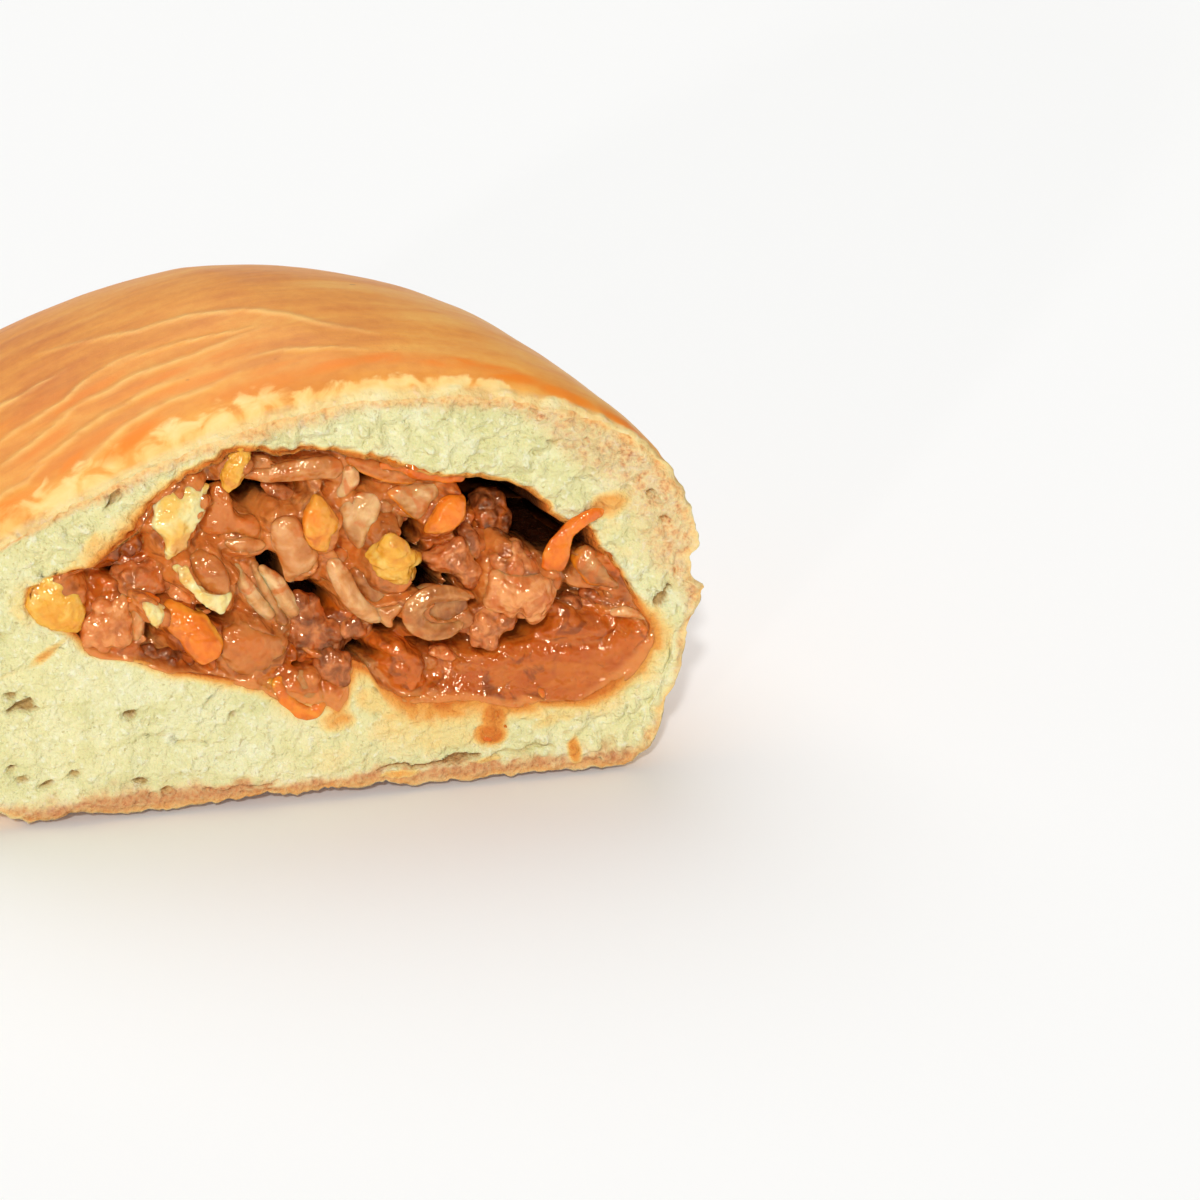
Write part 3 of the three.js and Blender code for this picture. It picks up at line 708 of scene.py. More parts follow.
# Each lump, here and in the next sections: its tint from dark to pale, how amber it is, the
# direction in degrees of an orange rim if it has one, how far its front lies behind the cut, its
# thickness, its roughness, and its outline across and up.
BEEF = [
    (0.9, 0.0, None, -1.6, 3.4, 0.13, [(16.8, 20.6), (17.7, 20.8), (18.8, 20.9), (20.2, 20.6),
        (21.4, 19.9), (22.5, 19.7), (22.9, 18.6), (22.8, 17.6), (22.0, 16.5), (21.4, 15.7),
        (20.7, 15.6), (20.0, 15.9), (19.6, 16.7), (18.8, 16.3), (17.7, 16.7), (16.7, 17.5),
        (16.6, 18.3), (16.8, 19.3)]),
    (0.6, 0.0, None, -0.9, 3.0, 0.2, [(16.9, 21.6), (17.7, 22.0), (18.6, 23.0), (19.4, 23.5),
        (20.2, 22.7), (20.9, 21.4), (21.4, 20.1), (20.4, 19.1), (18.7, 18.9), (17.4, 19.9)]),
    (0.6, 0.0, None, -0.9, 3.0, 0.18, [(16.1, 17.1), (17.8, 16.8), (19.2, 16.2), (19.2, 15.6),
        (18.2, 14.9), (17.5, 13.8), (16.6, 13.4), (15.7, 13.5), (14.8, 14.4), (14.7, 15.3),
        (15.2, 16.3), (15.6, 17.0)]),
    (0.55, 0.0, None, -0.2, 3.2, 0.26, [(11.3, 22.3), (12.8, 23.2), (14.4, 23.6), (15.2, 22.6),
        (15.5, 21.2), (16.7, 20.4), (16.8, 19.1), (15.8, 18.0), (14.7, 18.4), (13.7, 20.0),
        (12.7, 20.2), (11.7, 21.4)]),
    (0.2, 0.0, None, 2.2, 3.5, 0.2, [(15.8, 26.8), (17.6, 26.8), (19.1, 25.7), (19.6, 24.3),
        (19.2, 23.0), (17.9, 22.1), (16.5, 22.4), (15.6, 23.6), (15.6, 25.3)]),
    (0.45, 0.0, None, 0.8, 2.6, 0.24, [(14.6, 24.4), (16.2, 24.2), (17.2, 22.8), (17.0, 21.4),
        (15.8, 21.2), (14.6, 22.4)]),
    (0.35, 0.0, None, 1.0, 2.5, 0.24, [(26.9, 17.6), (29.1, 17.2), (30.2, 16.4), (30.3, 15.0),
        (28.4, 15.0), (26.9, 15.8), (26.0, 16.8)]),
    (0.35, 0.0, None, 1.4, 2.5, 0.24, [(23.2, 16.7), (24.4, 16.9), (26.0, 16.0), (27.2, 15.3),
        (26.3, 14.8), (24.6, 15.2), (23.5, 15.8)]),
    (0.35, 0.0, None, 0.7, 3.0, 0.3, [(-0.7, 19.1), (0.8, 19.4), (2.5, 17.8), (4.4, 15.8), (5.1, 14.5),
        (4.0, 12.8), (2.3, 12.2), (0.2, 13.0), (-0.9, 14.4), (-1.0, 16.5)]),
    (0.8, 0.3, None, -0.6, 3.0, 0.16, [(-18.8, 17.8), (-18.1, 19.9), (-17.1, 20.9), (-15.8, 21.0),
        (-14.8, 20.0), (-14.4, 19.0), (-14.8, 17.6), (-15.6, 16.4), (-17.0, 15.9), (-17.8, 16.1),
        (-18.5, 16.8)]),
    (0.5, 0.2, None, 0.5, 3.0, 0.26, [(-16.3, 23.0), (-15.1, 23.6), (-13.5, 23.9), (-12.0, 24.1),
        (-11.0, 22.7), (-10.8, 21.5), (-11.4, 20.5), (-13.1, 20.5), (-14.4, 20.5), (-15.7, 20.6),
        (-16.6, 21.4), (-16.7, 22.4)]),
    (0.65, 0.2, None, 0.4, 2.6, 0.2, [(-12.2, 21.5), (-10.8, 22.0), (-9.8, 20.9), (-8.7, 19.4),
        (-7.9, 18.6), (-8.8, 18.4), (-10.4, 19.3), (-11.7, 20.1)]),
    (0.25, 0.0, None, 0.7, 2.6, 0.24, [(-14.7, 15.5), (-13.8, 16.1), (-12.4, 15.7), (-11.1, 15.4),
        (-9.7, 14.5), (-9.0, 13.4), (-9.8, 12.6), (-11.4, 13.3), (-13.4, 14.1), (-14.5, 14.8)]),
    (0.45, 0.2, None, 1.6, 2.6, 0.24, [(-2.2, 29.5), (-0.7, 29.5), (1.0, 28.7), (1.9, 27.4),
        (0.8, 26.4), (-1.0, 26.8), (-1.9, 28.0)]),
    (0.4, 0.1, None, -0.1, 2.4, 0.26, [(1.3, 13.9), (2.8, 14.1), (4.1, 13.5), (4.5, 12.8), (4.1, 11.7),
        (3.7, 10.8), (2.7, 10.7), (1.7, 11.5), (1.0, 12.7)]),
    (0.65, 0.0, None, 0.3, 2.0, 0.14, [(11.5, 13.1), (12.4, 13.5), (13.5, 12.9), (14.3, 12.2),
        (14.0, 11.9), (12.7, 12.0), (11.8, 12.4)]),
    (0.5, 0.0, None, 1.0, 2.4, 0.28, [(3.6, 17.0), (5.4, 17.4), (6.8, 16.4), (6.4, 15.2), (4.8, 14.6),
        (3.6, 15.4)]),
    (0.4, 0.0, None, 1.4, 2.6, 0.26, [(9.0, 27.4), (10.4, 26.6), (10.0, 25.2), (8.8, 25.4),
        (8.0, 26.6)]),
]
BEEF_ROWS, BEEF_AROUND = 60, 88
# Sizes of the knobs of the mince and of the bumps on them, how strong the smaller ones are, how
# much the lumps tilt and sway, and the run of an onion's ribs.
KNOB, SMALL_KNOB, SMALL_SHARE = 1.9, 0.85, 0.3
TILT, SWAY, SWAY_SIZE, RIB_RUN = 0.12, 3.0, 2.2, 5.2


def closed_curve(outline, count):
    """Evenly spaced points, counterclockwise, on a closed Catmull-Rom curve through an outline."""
    given = np.array(outline, float)
    following = np.roll(given, -1, axis=0)
    if (given[:, 0] * following[:, 1] - given[:, 1] * following[:, 0]).sum() < 0:
        given = given[::-1]
    place = np.linspace(0, len(given), 20 * len(given) + 1)[:-1]
    index = place.astype(int)
    corners = (given[(index + step) % len(given)] for step in (-1, 0, 1, 2))
    curve = catmull_rom(*corners, (place - index)[:, None])
    curve = np.concatenate([curve, curve[:1]])
    run = running_length(curve)
    wanted = np.arange(count) / count * run[-1]
    return np.stack([np.interp(wanted, run, curve[:, axis]) for axis in range(2)], -1)


def with_poles(values, first=0.0, last=0.0):
    """The values of each surface's rings, in the order of its points, between those of its poles."""
    ends = np.ones((len(values), 1))
    return np.concatenate([first * ends, values.reshape(len(values), -1), last * ends], 1)


def own_values(pieces, column, count):
    """One number of each piece, repeated for all its points."""
    return np.array([piece[column] for piece in pieces])[:, None] * np.ones((len(pieces), count))


def lumps(pieces, rows, around, seed, flat, fine=0.05, knobs=0.0, ribs=0.0):
    """Irregular lumps: each outline in the plane of the cut, shrunk towards its middle along a
    superellipse from the edge to the front and to the back, tilted, with ribs along its length
    and noise along the normals. Returns first poles, rings, last poles and attributes."""
    count = len(pieces)
    rng = np.random.default_rng(seed)
    outlines = np.stack([closed_curve(piece[6], around) for piece in pieces])
    middle = outlines.mean(1, keepdims=True)
    turn = np.pi * (np.arange(1, rows + 1) / (rows + 1) - 0.5)
    wide = np.cos(turn) ** (2 / flat)
    deep = np.sign(turn) * np.abs(np.sin(turn)) ** (2 / flat)
    front, thick, rough = (np.array([piece[n] for piece in pieces])[:, None, None] for n in (3, 4, 5))
    out = (outlines - middle)[:, None] * wide[None, :, None, None]
    place = middle[:, None] + out
    tilt = rng.normal(0, TILT, (count, 1, 1, 2))
    behind = front + thick / 2 * (1 - deep[None, :, None]) + (out * tilt).sum(-1)
    rings = np.stack([place[..., 0], CUT_Y + behind, place[..., 1]], -1)
    sideways, upward = (noise(rings, SWAY_SIZE, seed + step, 2) for step in (11, 12))
    sway = np.stack([sideways, 0 * behind, upward], -1)
    rings = rings + sway * (SWAY * rough * wide[None, :, None])[..., None]
    spread = np.einsum("nka,nkb->nab", outlines - middle, outlines - middle)
    short_way = np.linalg.eigh(spread)[1][:, :, 0]
    across = (out * short_way[:, None, None]).sum(-1) + 0.35 * noise(rings, 2.5, seed + 13)
    swell = rough * noise(rings, 1.3, seed, 2) + fine * noise(rings, 0.45, seed + 3, 2)
    knobbly = puffs(rings, KNOB, seed + 4) + SMALL_SHARE * puffs(rings, SMALL_KNOB, seed + 5)
    swell = swell + knobs * knobbly + ribs * np.cos(across * RIB_RUN)
    rings = rings + surface_normals(rings) * (swell * np.sqrt(wide)[None, :, None])[..., None]
    back_pole, front_pole = (
        np.stack([middle[:, 0, 0], CUT_Y + (front + thick * share)[:, 0, 0], middle[:, 0, 1]], -1)
        for share in (1, 0))
    toward = np.array([np.radians(piece[2] or 0.0) for piece in pieces])[:, None]
    rimmed = np.array([piece[2] is not None for piece in pieces])[:, None]
    edge = outlines - middle
    facing = np.cos(np.arctan2(edge[..., 1], edge[..., 0]) - toward) * rimmed
    rim = smooth(facing[:, None] * 1.6) * smooth((wide[None, :, None] - 0.72) / 0.2)
    sauced = smooth((0.25 - deep[None, :, None] + 0.9 * noise(rings, 2.6, seed + 14, 2)) / 0.8)
    points = rows * around + 2
    return back_pole, rings, front_pole, {
        "tint": own_values(pieces, 0, points), "amber": own_values(pieces, 1, points),
        "rim": with_poles(rim), "crease": with_poles(sauced, first=1.0)}


# The film of fat on the filling: how rough it is, how uneven, and its warm reflections.
GLAZE_ROUGHNESS, GLAZE_RELIEF, GLAZE_TINT = 0.13, 0.38, (1.0, 0.74, 0.5, 1.0)


def moist_material(name, colours, sauce_colour, rim_colour, mottle, relief,
                   scatter=0.8, radius=(1.0, 0.5, 0.25), reach=0.7):
    """A wet food surface: a ramp of colours by the piece's tint and by noise of a size in
    millimetres, patches of sauce and fat on it and in its creases, another colour at its rim,
    light that scatters inside within a reach in millimetres, a strong smooth reflection tinted by
    the fat, and a relief of its own under the uneven film of fat."""
    material, shader = new_material(
        name, GLAZE_ROUGHNESS, Subsurface_Weight=scatter, Subsurface_Scale=reach * MM,
        Subsurface_Radius=radius, Specular_IOR_Level=1.0, Specular_Tint=GLAZE_TINT)
    cloudy = span(material, texture(material, mottle, 4.0, distortion=0.6), 0.25, 0.75, -0.3, 0.3)
    level = maths(material, "ADD", attribute(material, "tint"), cloudy)
    colour = ramp(material, level, list(zip(np.linspace(0, 1, len(colours)), colours)))
    patches = texture(material, 2.1, 3.0, offset=(0.4, 0.1, 0.6), distortion=0.8)
    colour = mix(material, span(material, patches, 0.5, 0.66, 0.0, 0.7), colour, sauce_colour)
    # The creases take the sauce's orange: partly real sauce, partly a painted glow of light through it.
    colour = mix(material, share_of(material, "crease", 0.9), colour, sauce_colour)
    colour = mix(material, attribute(material, "rim"), colour, rim_colour)
    connect(material, colour, shader.inputs["Base Color"])
    normal = bump(material, texture(material, 0.8, 2.0), relief, 0.6)
    film = texture(material, 0.9, 1.0, offset=(0.2, 0.5, 0.1))
    connect(material, bump(material, film, GLAZE_RELIEF, 0.8, normal), shader.inputs["Normal"])
    return material


def tint_over(material, factor, other):
    """Mixes another colour into the colour that a material has so far."""
    surface = material.node_tree.nodes["Principled BSDF"].inputs["Base Color"]
    connect(material, mix(material, factor, surface.links[0].from_socket, other), surface)


def finished(name, surfaces, material):
    """Makes a piece of the filling from its surfaces and gives it its material."""
    piece = ringed_mesh(name, *surfaces)
    piece.data.materials.append(material)
    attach(piece, "root")
    return piece


beef = moist_material(
    "minced_beef",
    [srgb(104, 48, 18), srgb(146, 76, 34), srgb(188, 108, 56), srgb(218, 136, 74), srgb(232, 160, 96)],
    srgb(204, 100, 30), srgb(206, 104, 42), 1.1, 0.2, reach=0.5)
tint_over(beef, share_of(beef, "amber", 0.6), srgb(222, 124, 44))
finished("minced_beef_clusters", lumps(BEEF, BEEF_ROWS, BEEF_AROUND, 71, 2.1, fine=0.06, knobs=0.4), beef)


# --- Onion ---------------------------------------------------------------------------------------
# Onion cut lengthwise into strips and petals, stewed until it turned translucent and took the
# colour of the sauce, with fine ribs along each piece and orange fat along some edges.

# Each strip, here and under Carrot: its tint, how amber it is, the side of its orange rim (-1, 1 or
# 0 for none), and stations along its middle: across, up, behind, half width and half thickness.
ONION_STRIPS = [
    (0.55, 0.4, 0, [(-4.6, 31.2, 1.0, 0.4, 0.3), (-2.0, 31.0, 0.9, 0.8, 0.5),
        (0.3, 31.2, 0.8, 0.95, 0.55), (2.7, 31.2, 0.8, 1.05, 0.55), (4.4, 31.0, 0.9, 1.0, 0.5)]),
    (0.4, 0.7, -1, [(4.6, 32.1, 0.8, 0.5, 0.4), (6.0, 31.4, 0.7, 0.8, 0.45),
        (8.3, 30.4, 0.6, 0.9, 0.45), (10.9, 29.8, 0.7, 0.8, 0.4)]),
    (0.75, 0.1, 0, [(5.0, 31.4, 0.8, 0.65, 0.4), (4.9, 29.7, 0.7, 0.75, 0.45),
        (4.0, 28.2, 0.9, 0.6, 0.4)]),
    (0.8, 0.3, 0, [(2.8, 23.0, 0.1, 0.7, 0.5), (3.5, 21.6, -0.2, 0.9, 0.6),
        (4.2, 19.9, -0.4, 0.95, 0.6), (5.2, 18.4, -0.4, 0.85, 0.6), (6.5, 17.4, -0.3, 0.7, 0.5),
        (7.8, 17.0, 0.0, 0.4, 0.4)]),
    (0.75, 0.0, 0, [(-3.3, 22.5, 1.0, 0.4, 0.35), (-1.9, 20.7, 0.9, 0.8, 0.45),
        (-1.0, 19.0, 0.8, 0.8, 0.45), (-0.2, 17.5, 0.9, 0.6, 0.4)]),
    (0.65, 0.0, 0, [(-5.5, 22.9, 1.0, 0.4, 0.35), (-4.6, 20.8, 0.8, 0.7, 0.4),
        (-3.4, 18.9, 0.8, 0.7, 0.4), (-2.2, 17.5, 0.9, 0.5, 0.35)]),
    (0.5, 0.0, 0, [(-3.9, 22.9, 1.3, 0.4, 0.35), (-3.0, 20.8, 1.1, 0.6, 0.4),
        (-2.1, 18.6, 1.1, 0.6, 0.4), (-1.2, 16.6, 1.1, 0.5, 0.35)]),
    (0.5, 0.15, 0, [(15.0, 18.5, -0.8, 0.4, 0.3), (13.4, 19.1, -1.0, 0.75, 0.45),
        (11.5, 19.2, -1.2, 0.85, 0.5), (10.0, 18.3, -1.3, 1.0, 0.55), (9.9, 16.9, -1.3, 0.95, 0.55),
        (11.2, 15.9, -1.2, 0.85, 0.5), (13.0, 15.7, -1.0, 0.75, 0.45), (14.4, 16.2, -0.8, 0.4, 0.3)]),
    (0.85, 0.4, 0, [(27.9, 15.5, 0.0, 0.3, 0.3), (29.2, 15.6, -0.2, 0.5, 0.35),
        (30.4, 15.2, -0.2, 0.4, 0.3), (31.2, 14.6, 0.0, 0.2, 0.25)]),
]
ONION_LUMPS = [
    (0.8, 0.0, 225, 0.4, 1.8, 0.09, [(8.2, 28.8), (10.8, 29.1), (12.9, 28.9), (13.0, 27.9),
        (12.4, 26.4), (12.0, 25.0), (11.3, 24.6), (10.2, 25.7), (9.1, 27.2)]),
    (0.78, 0.0, None, 0.1, 1.8, 0.09, [(4.6, 28.4), (6.4, 28.7), (7.5, 27.9), (7.3, 26.4), (6.5, 24.9),
        (5.8, 23.0), (4.7, 24.2), (3.9, 26.0), (3.6, 27.2)]),
    (0.4, 0.4, None, 0.8, 1.8, 0.12, [(7.5, 28.2), (8.8, 27.6), (9.7, 25.4), (8.7, 24.2), (7.4, 23.0),
        (6.2, 23.1), (6.6, 24.6), (7.3, 26.1)]),
    (0.5, 0.0, None, 1.3, 2.0, 0.14, [(-5.9, 23.2), (-4.2, 22.4), (-2.7, 21.2), (-1.7, 19.5),
        (-0.8, 17.5), (-0.7, 15.9), (-2.4, 16.4), (-4.3, 18.2), (-5.6, 19.9), (-6.1, 21.7)]),
    (0.3, 0.0, None, -0.5, 2.4, 0.2, [(9.4, 17.2), (9.4, 18.6), (10.3, 19.3), (12.0, 19.5),
        (13.9, 19.1), (14.9, 18.3), (14.6, 16.6), (13.8, 15.6), (12.4, 15.3), (10.7, 15.1),
        (9.8, 15.7)]),
    (0.35, 0.1, None, 0.1, 2.4, 0.12, [(4.3, 21.8), (6.1, 22.2), (7.1, 20.7), (8.7, 18.6), (8.3, 17.4),
        (7.0, 17.2), (5.7, 18.5), (4.8, 20.2)]),
    (0.65, 0.4, None, -0.6, 1.4, 0.1, [(6.2, 18.2), (7.8, 18.4), (9.2, 18.8), (9.4, 18.3), (8.3, 17.1),
        (8.0, 16.2), (7.0, 16.7)]),
    (0.75, 0.5, None, -0.9, 2.4, 0.12, [(-2.0, 27.0), (-0.8, 27.6), (0.1, 27.3), (0.6, 25.5),
        (1.7, 23.4), (1.3, 21.9), (-0.2, 21.2), (-1.1, 21.4), (-1.4, 23.1), (-2.1, 25.1)]),
    (0.5, 0.5, None, 0.4, 1.4, 0.08, [(-6.3, 25.2), (-4.8, 25.6), (-2.9, 25.1), (-2.4, 24.6),
        (-3.3, 23.9), (-4.9, 23.9), (-6.0, 24.5)]),
    (0.45, 0.6, None, -0.8, 2.6, 0.12, [(-10.4, 24.1), (-8.8, 24.9), (-7.3, 24.6), (-6.1, 23.1),
        (-5.8, 21.5), (-6.2, 20.3), (-7.5, 20.5), (-8.6, 21.6), (-9.7, 22.7)]),
    (0.4, 0.8, None, -0.6, 3.0, 0.14, [(-7.0, 17.2), (-5.2, 17.5), (-3.3, 16.8), (-1.6, 15.4),
        (-1.4, 14.0), (-2.5, 12.7), (-4.5, 12.1), (-6.4, 13.0), (-7.3, 14.4), (-7.4, 16.0)]),
    (0.45, 0.1, 200, 0.2, 2.2, 0.14, [(24.4, 20.9), (25.8, 21.7), (27.1, 21.2), (28.1, 20.1),
        (28.3, 18.8), (29.3, 17.6), (28.8, 17.1), (27.3, 17.8), (25.9, 18.2), (25.1, 19.4)]),
    (0.5, 0.4, None, 0.8, 2.0, 0.12, [(27.4, 17.4), (28.9, 17.4), (29.8, 16.5), (30.1, 15.2),
        (28.8, 15.2), (27.7, 16.3)]),
    (0.45, 0.6, None, 0.8, 2.0, 0.12, [(1.8, 22.5), (3.0, 23.3), (4.1, 23.4), (4.9, 22.3), (3.4, 21.9),
        (2.6, 20.7), (1.9, 21.1)]),
    (0.35, 0.9, None, 0.6, 2.8, 0.18, [(-7.4, 30.1), (-6.1, 30.3), (-5.5, 29.4), (-4.9, 27.8),
        (-3.1, 26.8), (-1.9, 25.3), (-3.1, 24.7), (-5.4, 25.4), (-7.9, 25.6), (-8.5, 26.6),
        (-7.8, 28.2)]),
    (0.75, 0.4, None, 0.0, 1.6, 0.1, [(-14.7, 20.0), (-13.6, 20.4), (-13.3, 19.4), (-13.5, 18.4),
        (-13.8, 16.8), (-14.5, 16.6), (-14.9, 17.8)]),
    (0.7, 0.4, None, -0.3, 1.8, 0.14, [(-0.8, 12.1), (0.5, 12.2), (1.4, 11.3), (1.8, 10.2), (1.1, 9.0),
        (0.1, 9.3), (-0.6, 10.2)]),
]


# How deep the strips are set, their least half thickness, how square their section is, the run of
# their ribs across, and how far the rounding of an end reaches, in half widths and at most.
STRIP_SET, LEAST_THICKNESS, SECTION_SQUARE, STRIP_RIBS = 0.3, 0.12, 0.8, 6.5
END_REACH, END_SHARE = 1.1, 0.3


def strips(pieces, stations, around, seed, ribs=0.0, roughen=0.12, fine=0.03, cup=0.0):
    """Flat pieces with rounded ends: an oval section, which can be ribbed and cupped, is carried
    along a Catmull-Rom curve through each piece's stations, and narrows along a circle at its
    ends. Returns first poles, rings, last poles and attributes."""
    paths = []
    for _, _, _, path in pieces:
        given = np.array(path, float)
        given = np.concatenate([[2 * given[0] - given[1]], given, [2 * given[-1] - given[-2]]])
        place = np.linspace(0, len(path) - 1, 240)
        index = np.minimum(place.astype(int), len(path) - 2)
        curve = catmull_rom(*(given[index + step] for step in range(4)), (place - index)[:, None])
        run = running_length(curve[:, :3])
        wanted = (1 - np.cos(np.linspace(0, np.pi, stations + 2))) / 2 * run[-1]
        even = np.stack([np.interp(wanted, run, curve[:, column]) for column in range(5)], -1)
        end_round = np.minimum(np.array([path[0][3], path[-1][3]]) * END_REACH, run[-1] * END_SHARE)
        ends = np.stack([wanted, run[-1] - wanted], -1) / end_round
        cap = np.sqrt(np.clip(1 - (1 - np.minimum(ends, 1)) ** 2, 0, 1)).prod(-1)
        paths.append(np.concatenate([even, cap[:, None]], 1))
    paths = np.stack(paths)[:, :, None]
    middle = np.stack([paths[..., 0], CUT_Y + paths[..., 2] + STRIP_SET, paths[..., 1]], -1)
    forward = np.gradient(middle, axis=1)
    forward /= np.linalg.norm(forward, axis=-1, keepdims=True)
    side = np.cross([0, -1.0, 0], forward)
    side /= np.linalg.norm(side, axis=-1, keepdims=True)
    outward = np.cross(forward, side)
    phi = np.arange(around) / around * 2 * np.pi
    half_width, half_thick, cap = paths[..., 3], np.maximum(paths[..., 4], LEAST_THICKNESS), paths[..., 5]
    across = half_width * cap * np.cos(phi)
    rise = half_thick * cap * np.sign(np.sin(phi)) * np.abs(np.sin(phi)) ** SECTION_SQUARE
    rise = rise - cup * half_width * (np.cos(phi) ** 2) * cap + ribs * np.cos(across * STRIP_RIBS) * cap
    points = middle + side * across[..., None] + outward * rise[..., None]
    bumps = roughen * noise(points, 1.3, seed, 2) + fine * noise(points, 0.45, seed + 3)
    rings = points[:, 1:-1]
    rings = rings + surface_normals(rings) * (bumps[:, 1:-1] * np.sqrt(cap[:, 1:-1]))[..., None]
    rim_side = np.array([piece[2] for piece in pieces])[:, None, None]
    rim = smooth((rim_side * np.cos(phi) - 0.4 + 0.2 * noise(points, 1.2, seed + 5)[:, 1:-1]) / 0.4)
    sauced = smooth((0.9 * noise(rings, 2.6, seed + 6, 2) - np.sin(phi) + 0.1) / 0.8)
    count = stations * around + 2
    return points[:, 0, 0], rings, points[:, -1, 0], {
        "tint": own_values(pieces, 0, count), "amber": own_values(pieces, 1, count),
        "rim": with_poles(rim), "crease": with_poles(sauced)}


onion = moist_material(
    "stewed_onion",
    [srgb(124, 64, 26), srgb(162, 96, 46), srgb(192, 130, 72), srgb(214, 160, 100), srgb(232, 192, 136)],
    srgb(208, 108, 34), srgb(244, 140, 24), 2.0, 0.1, scatter=1.0, radius=(1.0, 0.6, 0.35), reach=0.9)
tint_over(onion, share_of(onion, "amber", 0.8), srgb(214, 120, 44))
finished("onion_strips", strips(ONION_STRIPS, 44, 36, 81, ribs=0.05, cup=0.12), onion)
finished("onion_petals", lumps(ONION_LUMPS, 44, 68, 85, 2.3, ribs=0.03), onion)


# --- Carrot --------------------------------------------------------------------------------------
# Carrot shredded and diced small, stewed soft, still bright orange. One shred hangs over the lip
# of the hollow on the folded side.

CARROT_STRIPS = [
    (0.35, 0.0, 0, [(27.3, 25.6, -0.2, 0.3, 0.25), (26.2, 25.4, -0.75, 0.6, 0.35),
        (24.8, 24.8, -0.75, 0.6, 0.4), (23.6, 23.6, -0.7, 0.85, 0.45), (22.8, 21.8, -0.7, 1.25, 0.5),
        (22.6, 20.0, -0.4, 1.0, 0.45)]),
    (0.25, 0.0, 0, [(7.5, 31.4, 0.5, 0.4, 0.4), (9.9, 30.8, 0.4, 0.65, 0.45),
        (12.3, 30.0, 0.4, 0.7, 0.45), (15.0, 29.4, 0.5, 0.5, 0.4)]),
    (0.5, 0.0, 0, [(-2.1, 12.2, 0.2, 0.45, 0.4), (-1.9, 10.9, -0.2, 0.75, 0.4),
        (-1.0, 9.4, -0.3, 0.6, 0.4), (0.4, 8.5, -0.3, 0.7, 0.35), (1.5, 9.2, -0.2, 0.45, 0.35),
        (1.9, 10.4, 0.0, 0.5, 0.3)]),
    (0.4, 0.0, 0, [(-15.1, 20.6, 0.2, 0.35, 0.35), (-13.6, 20.9, 0.1, 0.4, 0.4),
        (-12.1, 20.4, -0.1, 0.35, 0.35)]),
    (0.2, 0.0, 0, [(17.0, 8.6, 0.3, 0.5, 0.4), (17.1, 6.4, 0.1, 0.55, 0.35),
        (16.8, 4.8, 0.0, 0.65, 0.4), (16.3, 4.0, 0.1, 0.45, 0.35)]),
    (0.15, 0.0, 0, [(17.5, 6.2, 0.2, 0.4, 0.3), (18.1, 4.9, 0.1, 0.55, 0.35),
        (17.7, 4.0, 0.2, 0.35, 0.3)]),
    (0.2, 0.0, 0, [(21.1, 8.8, 0.1, 0.2, 0.2), (21.6, 8.1, -0.1, 0.35, 0.25),
        (21.4, 7.2, 0.1, 0.2, 0.2)]),
    (0.5, 0.0, 0, [(-5.6, 12.1, 0.5, 0.35, 0.35), (-3.7, 11.5, 0.4, 0.4, 0.35),
        (-2.2, 11.6, 0.4, 0.35, 0.35)]),
]
CARROT_LUMPS = [
    (0.65, 0.0, None, -0.8, 2.2, 0.1, [(11.1, 25.1), (12.0, 26.8), (13.0, 27.9), (14.3, 28.3),
        (15.0, 27.7), (14.9, 26.4), (14.3, 25.4), (13.4, 24.7), (12.1, 24.6)]),
    (0.95, 0.0, None, -1.0, 2.4, 0.07, [(1.8, 29.2), (2.6, 28.5), (3.6, 26.5), (3.3, 25.1),
        (2.5, 23.8), (1.1, 24.5), (0.4, 26.1), (0.5, 27.7), (1.2, 28.5)]),
    (0.4, 0.0, 50, -1.3, 2.6, 0.12, [(-11.9, 20.0), (-10.5, 20.1), (-8.4, 19.2), (-7.4, 17.8),
        (-7.0, 16.4), (-7.4, 15.0), (-8.7, 14.6), (-9.9, 15.6), (-11.0, 17.1), (-11.9, 18.3)]),
]

carrot = moist_material(
    "stewed_carrot",
    [srgb(212, 98, 16), srgb(228, 114, 20), srgb(238, 130, 28), srgb(240, 146, 40), srgb(238, 164, 62)],
    srgb(206, 104, 30), srgb(248, 166, 54), 2.0, 0.1, radius=(1.0, 0.55, 0.2))
finished("carrot_strips", strips(CARROT_STRIPS, 40, 32, 91, roughen=0.26, fine=0.06), carrot)
finished("carrot_dice", lumps(CARROT_LUMPS, 44, 64, 95, 2.6), carrot)


# --- Pale vegetable ------------------------------------------------------------------------------
# Diced potato that soaked up the sauce: rough and mealy, its corners rounded off in the stew,
# from cream to golden yellow and amber.

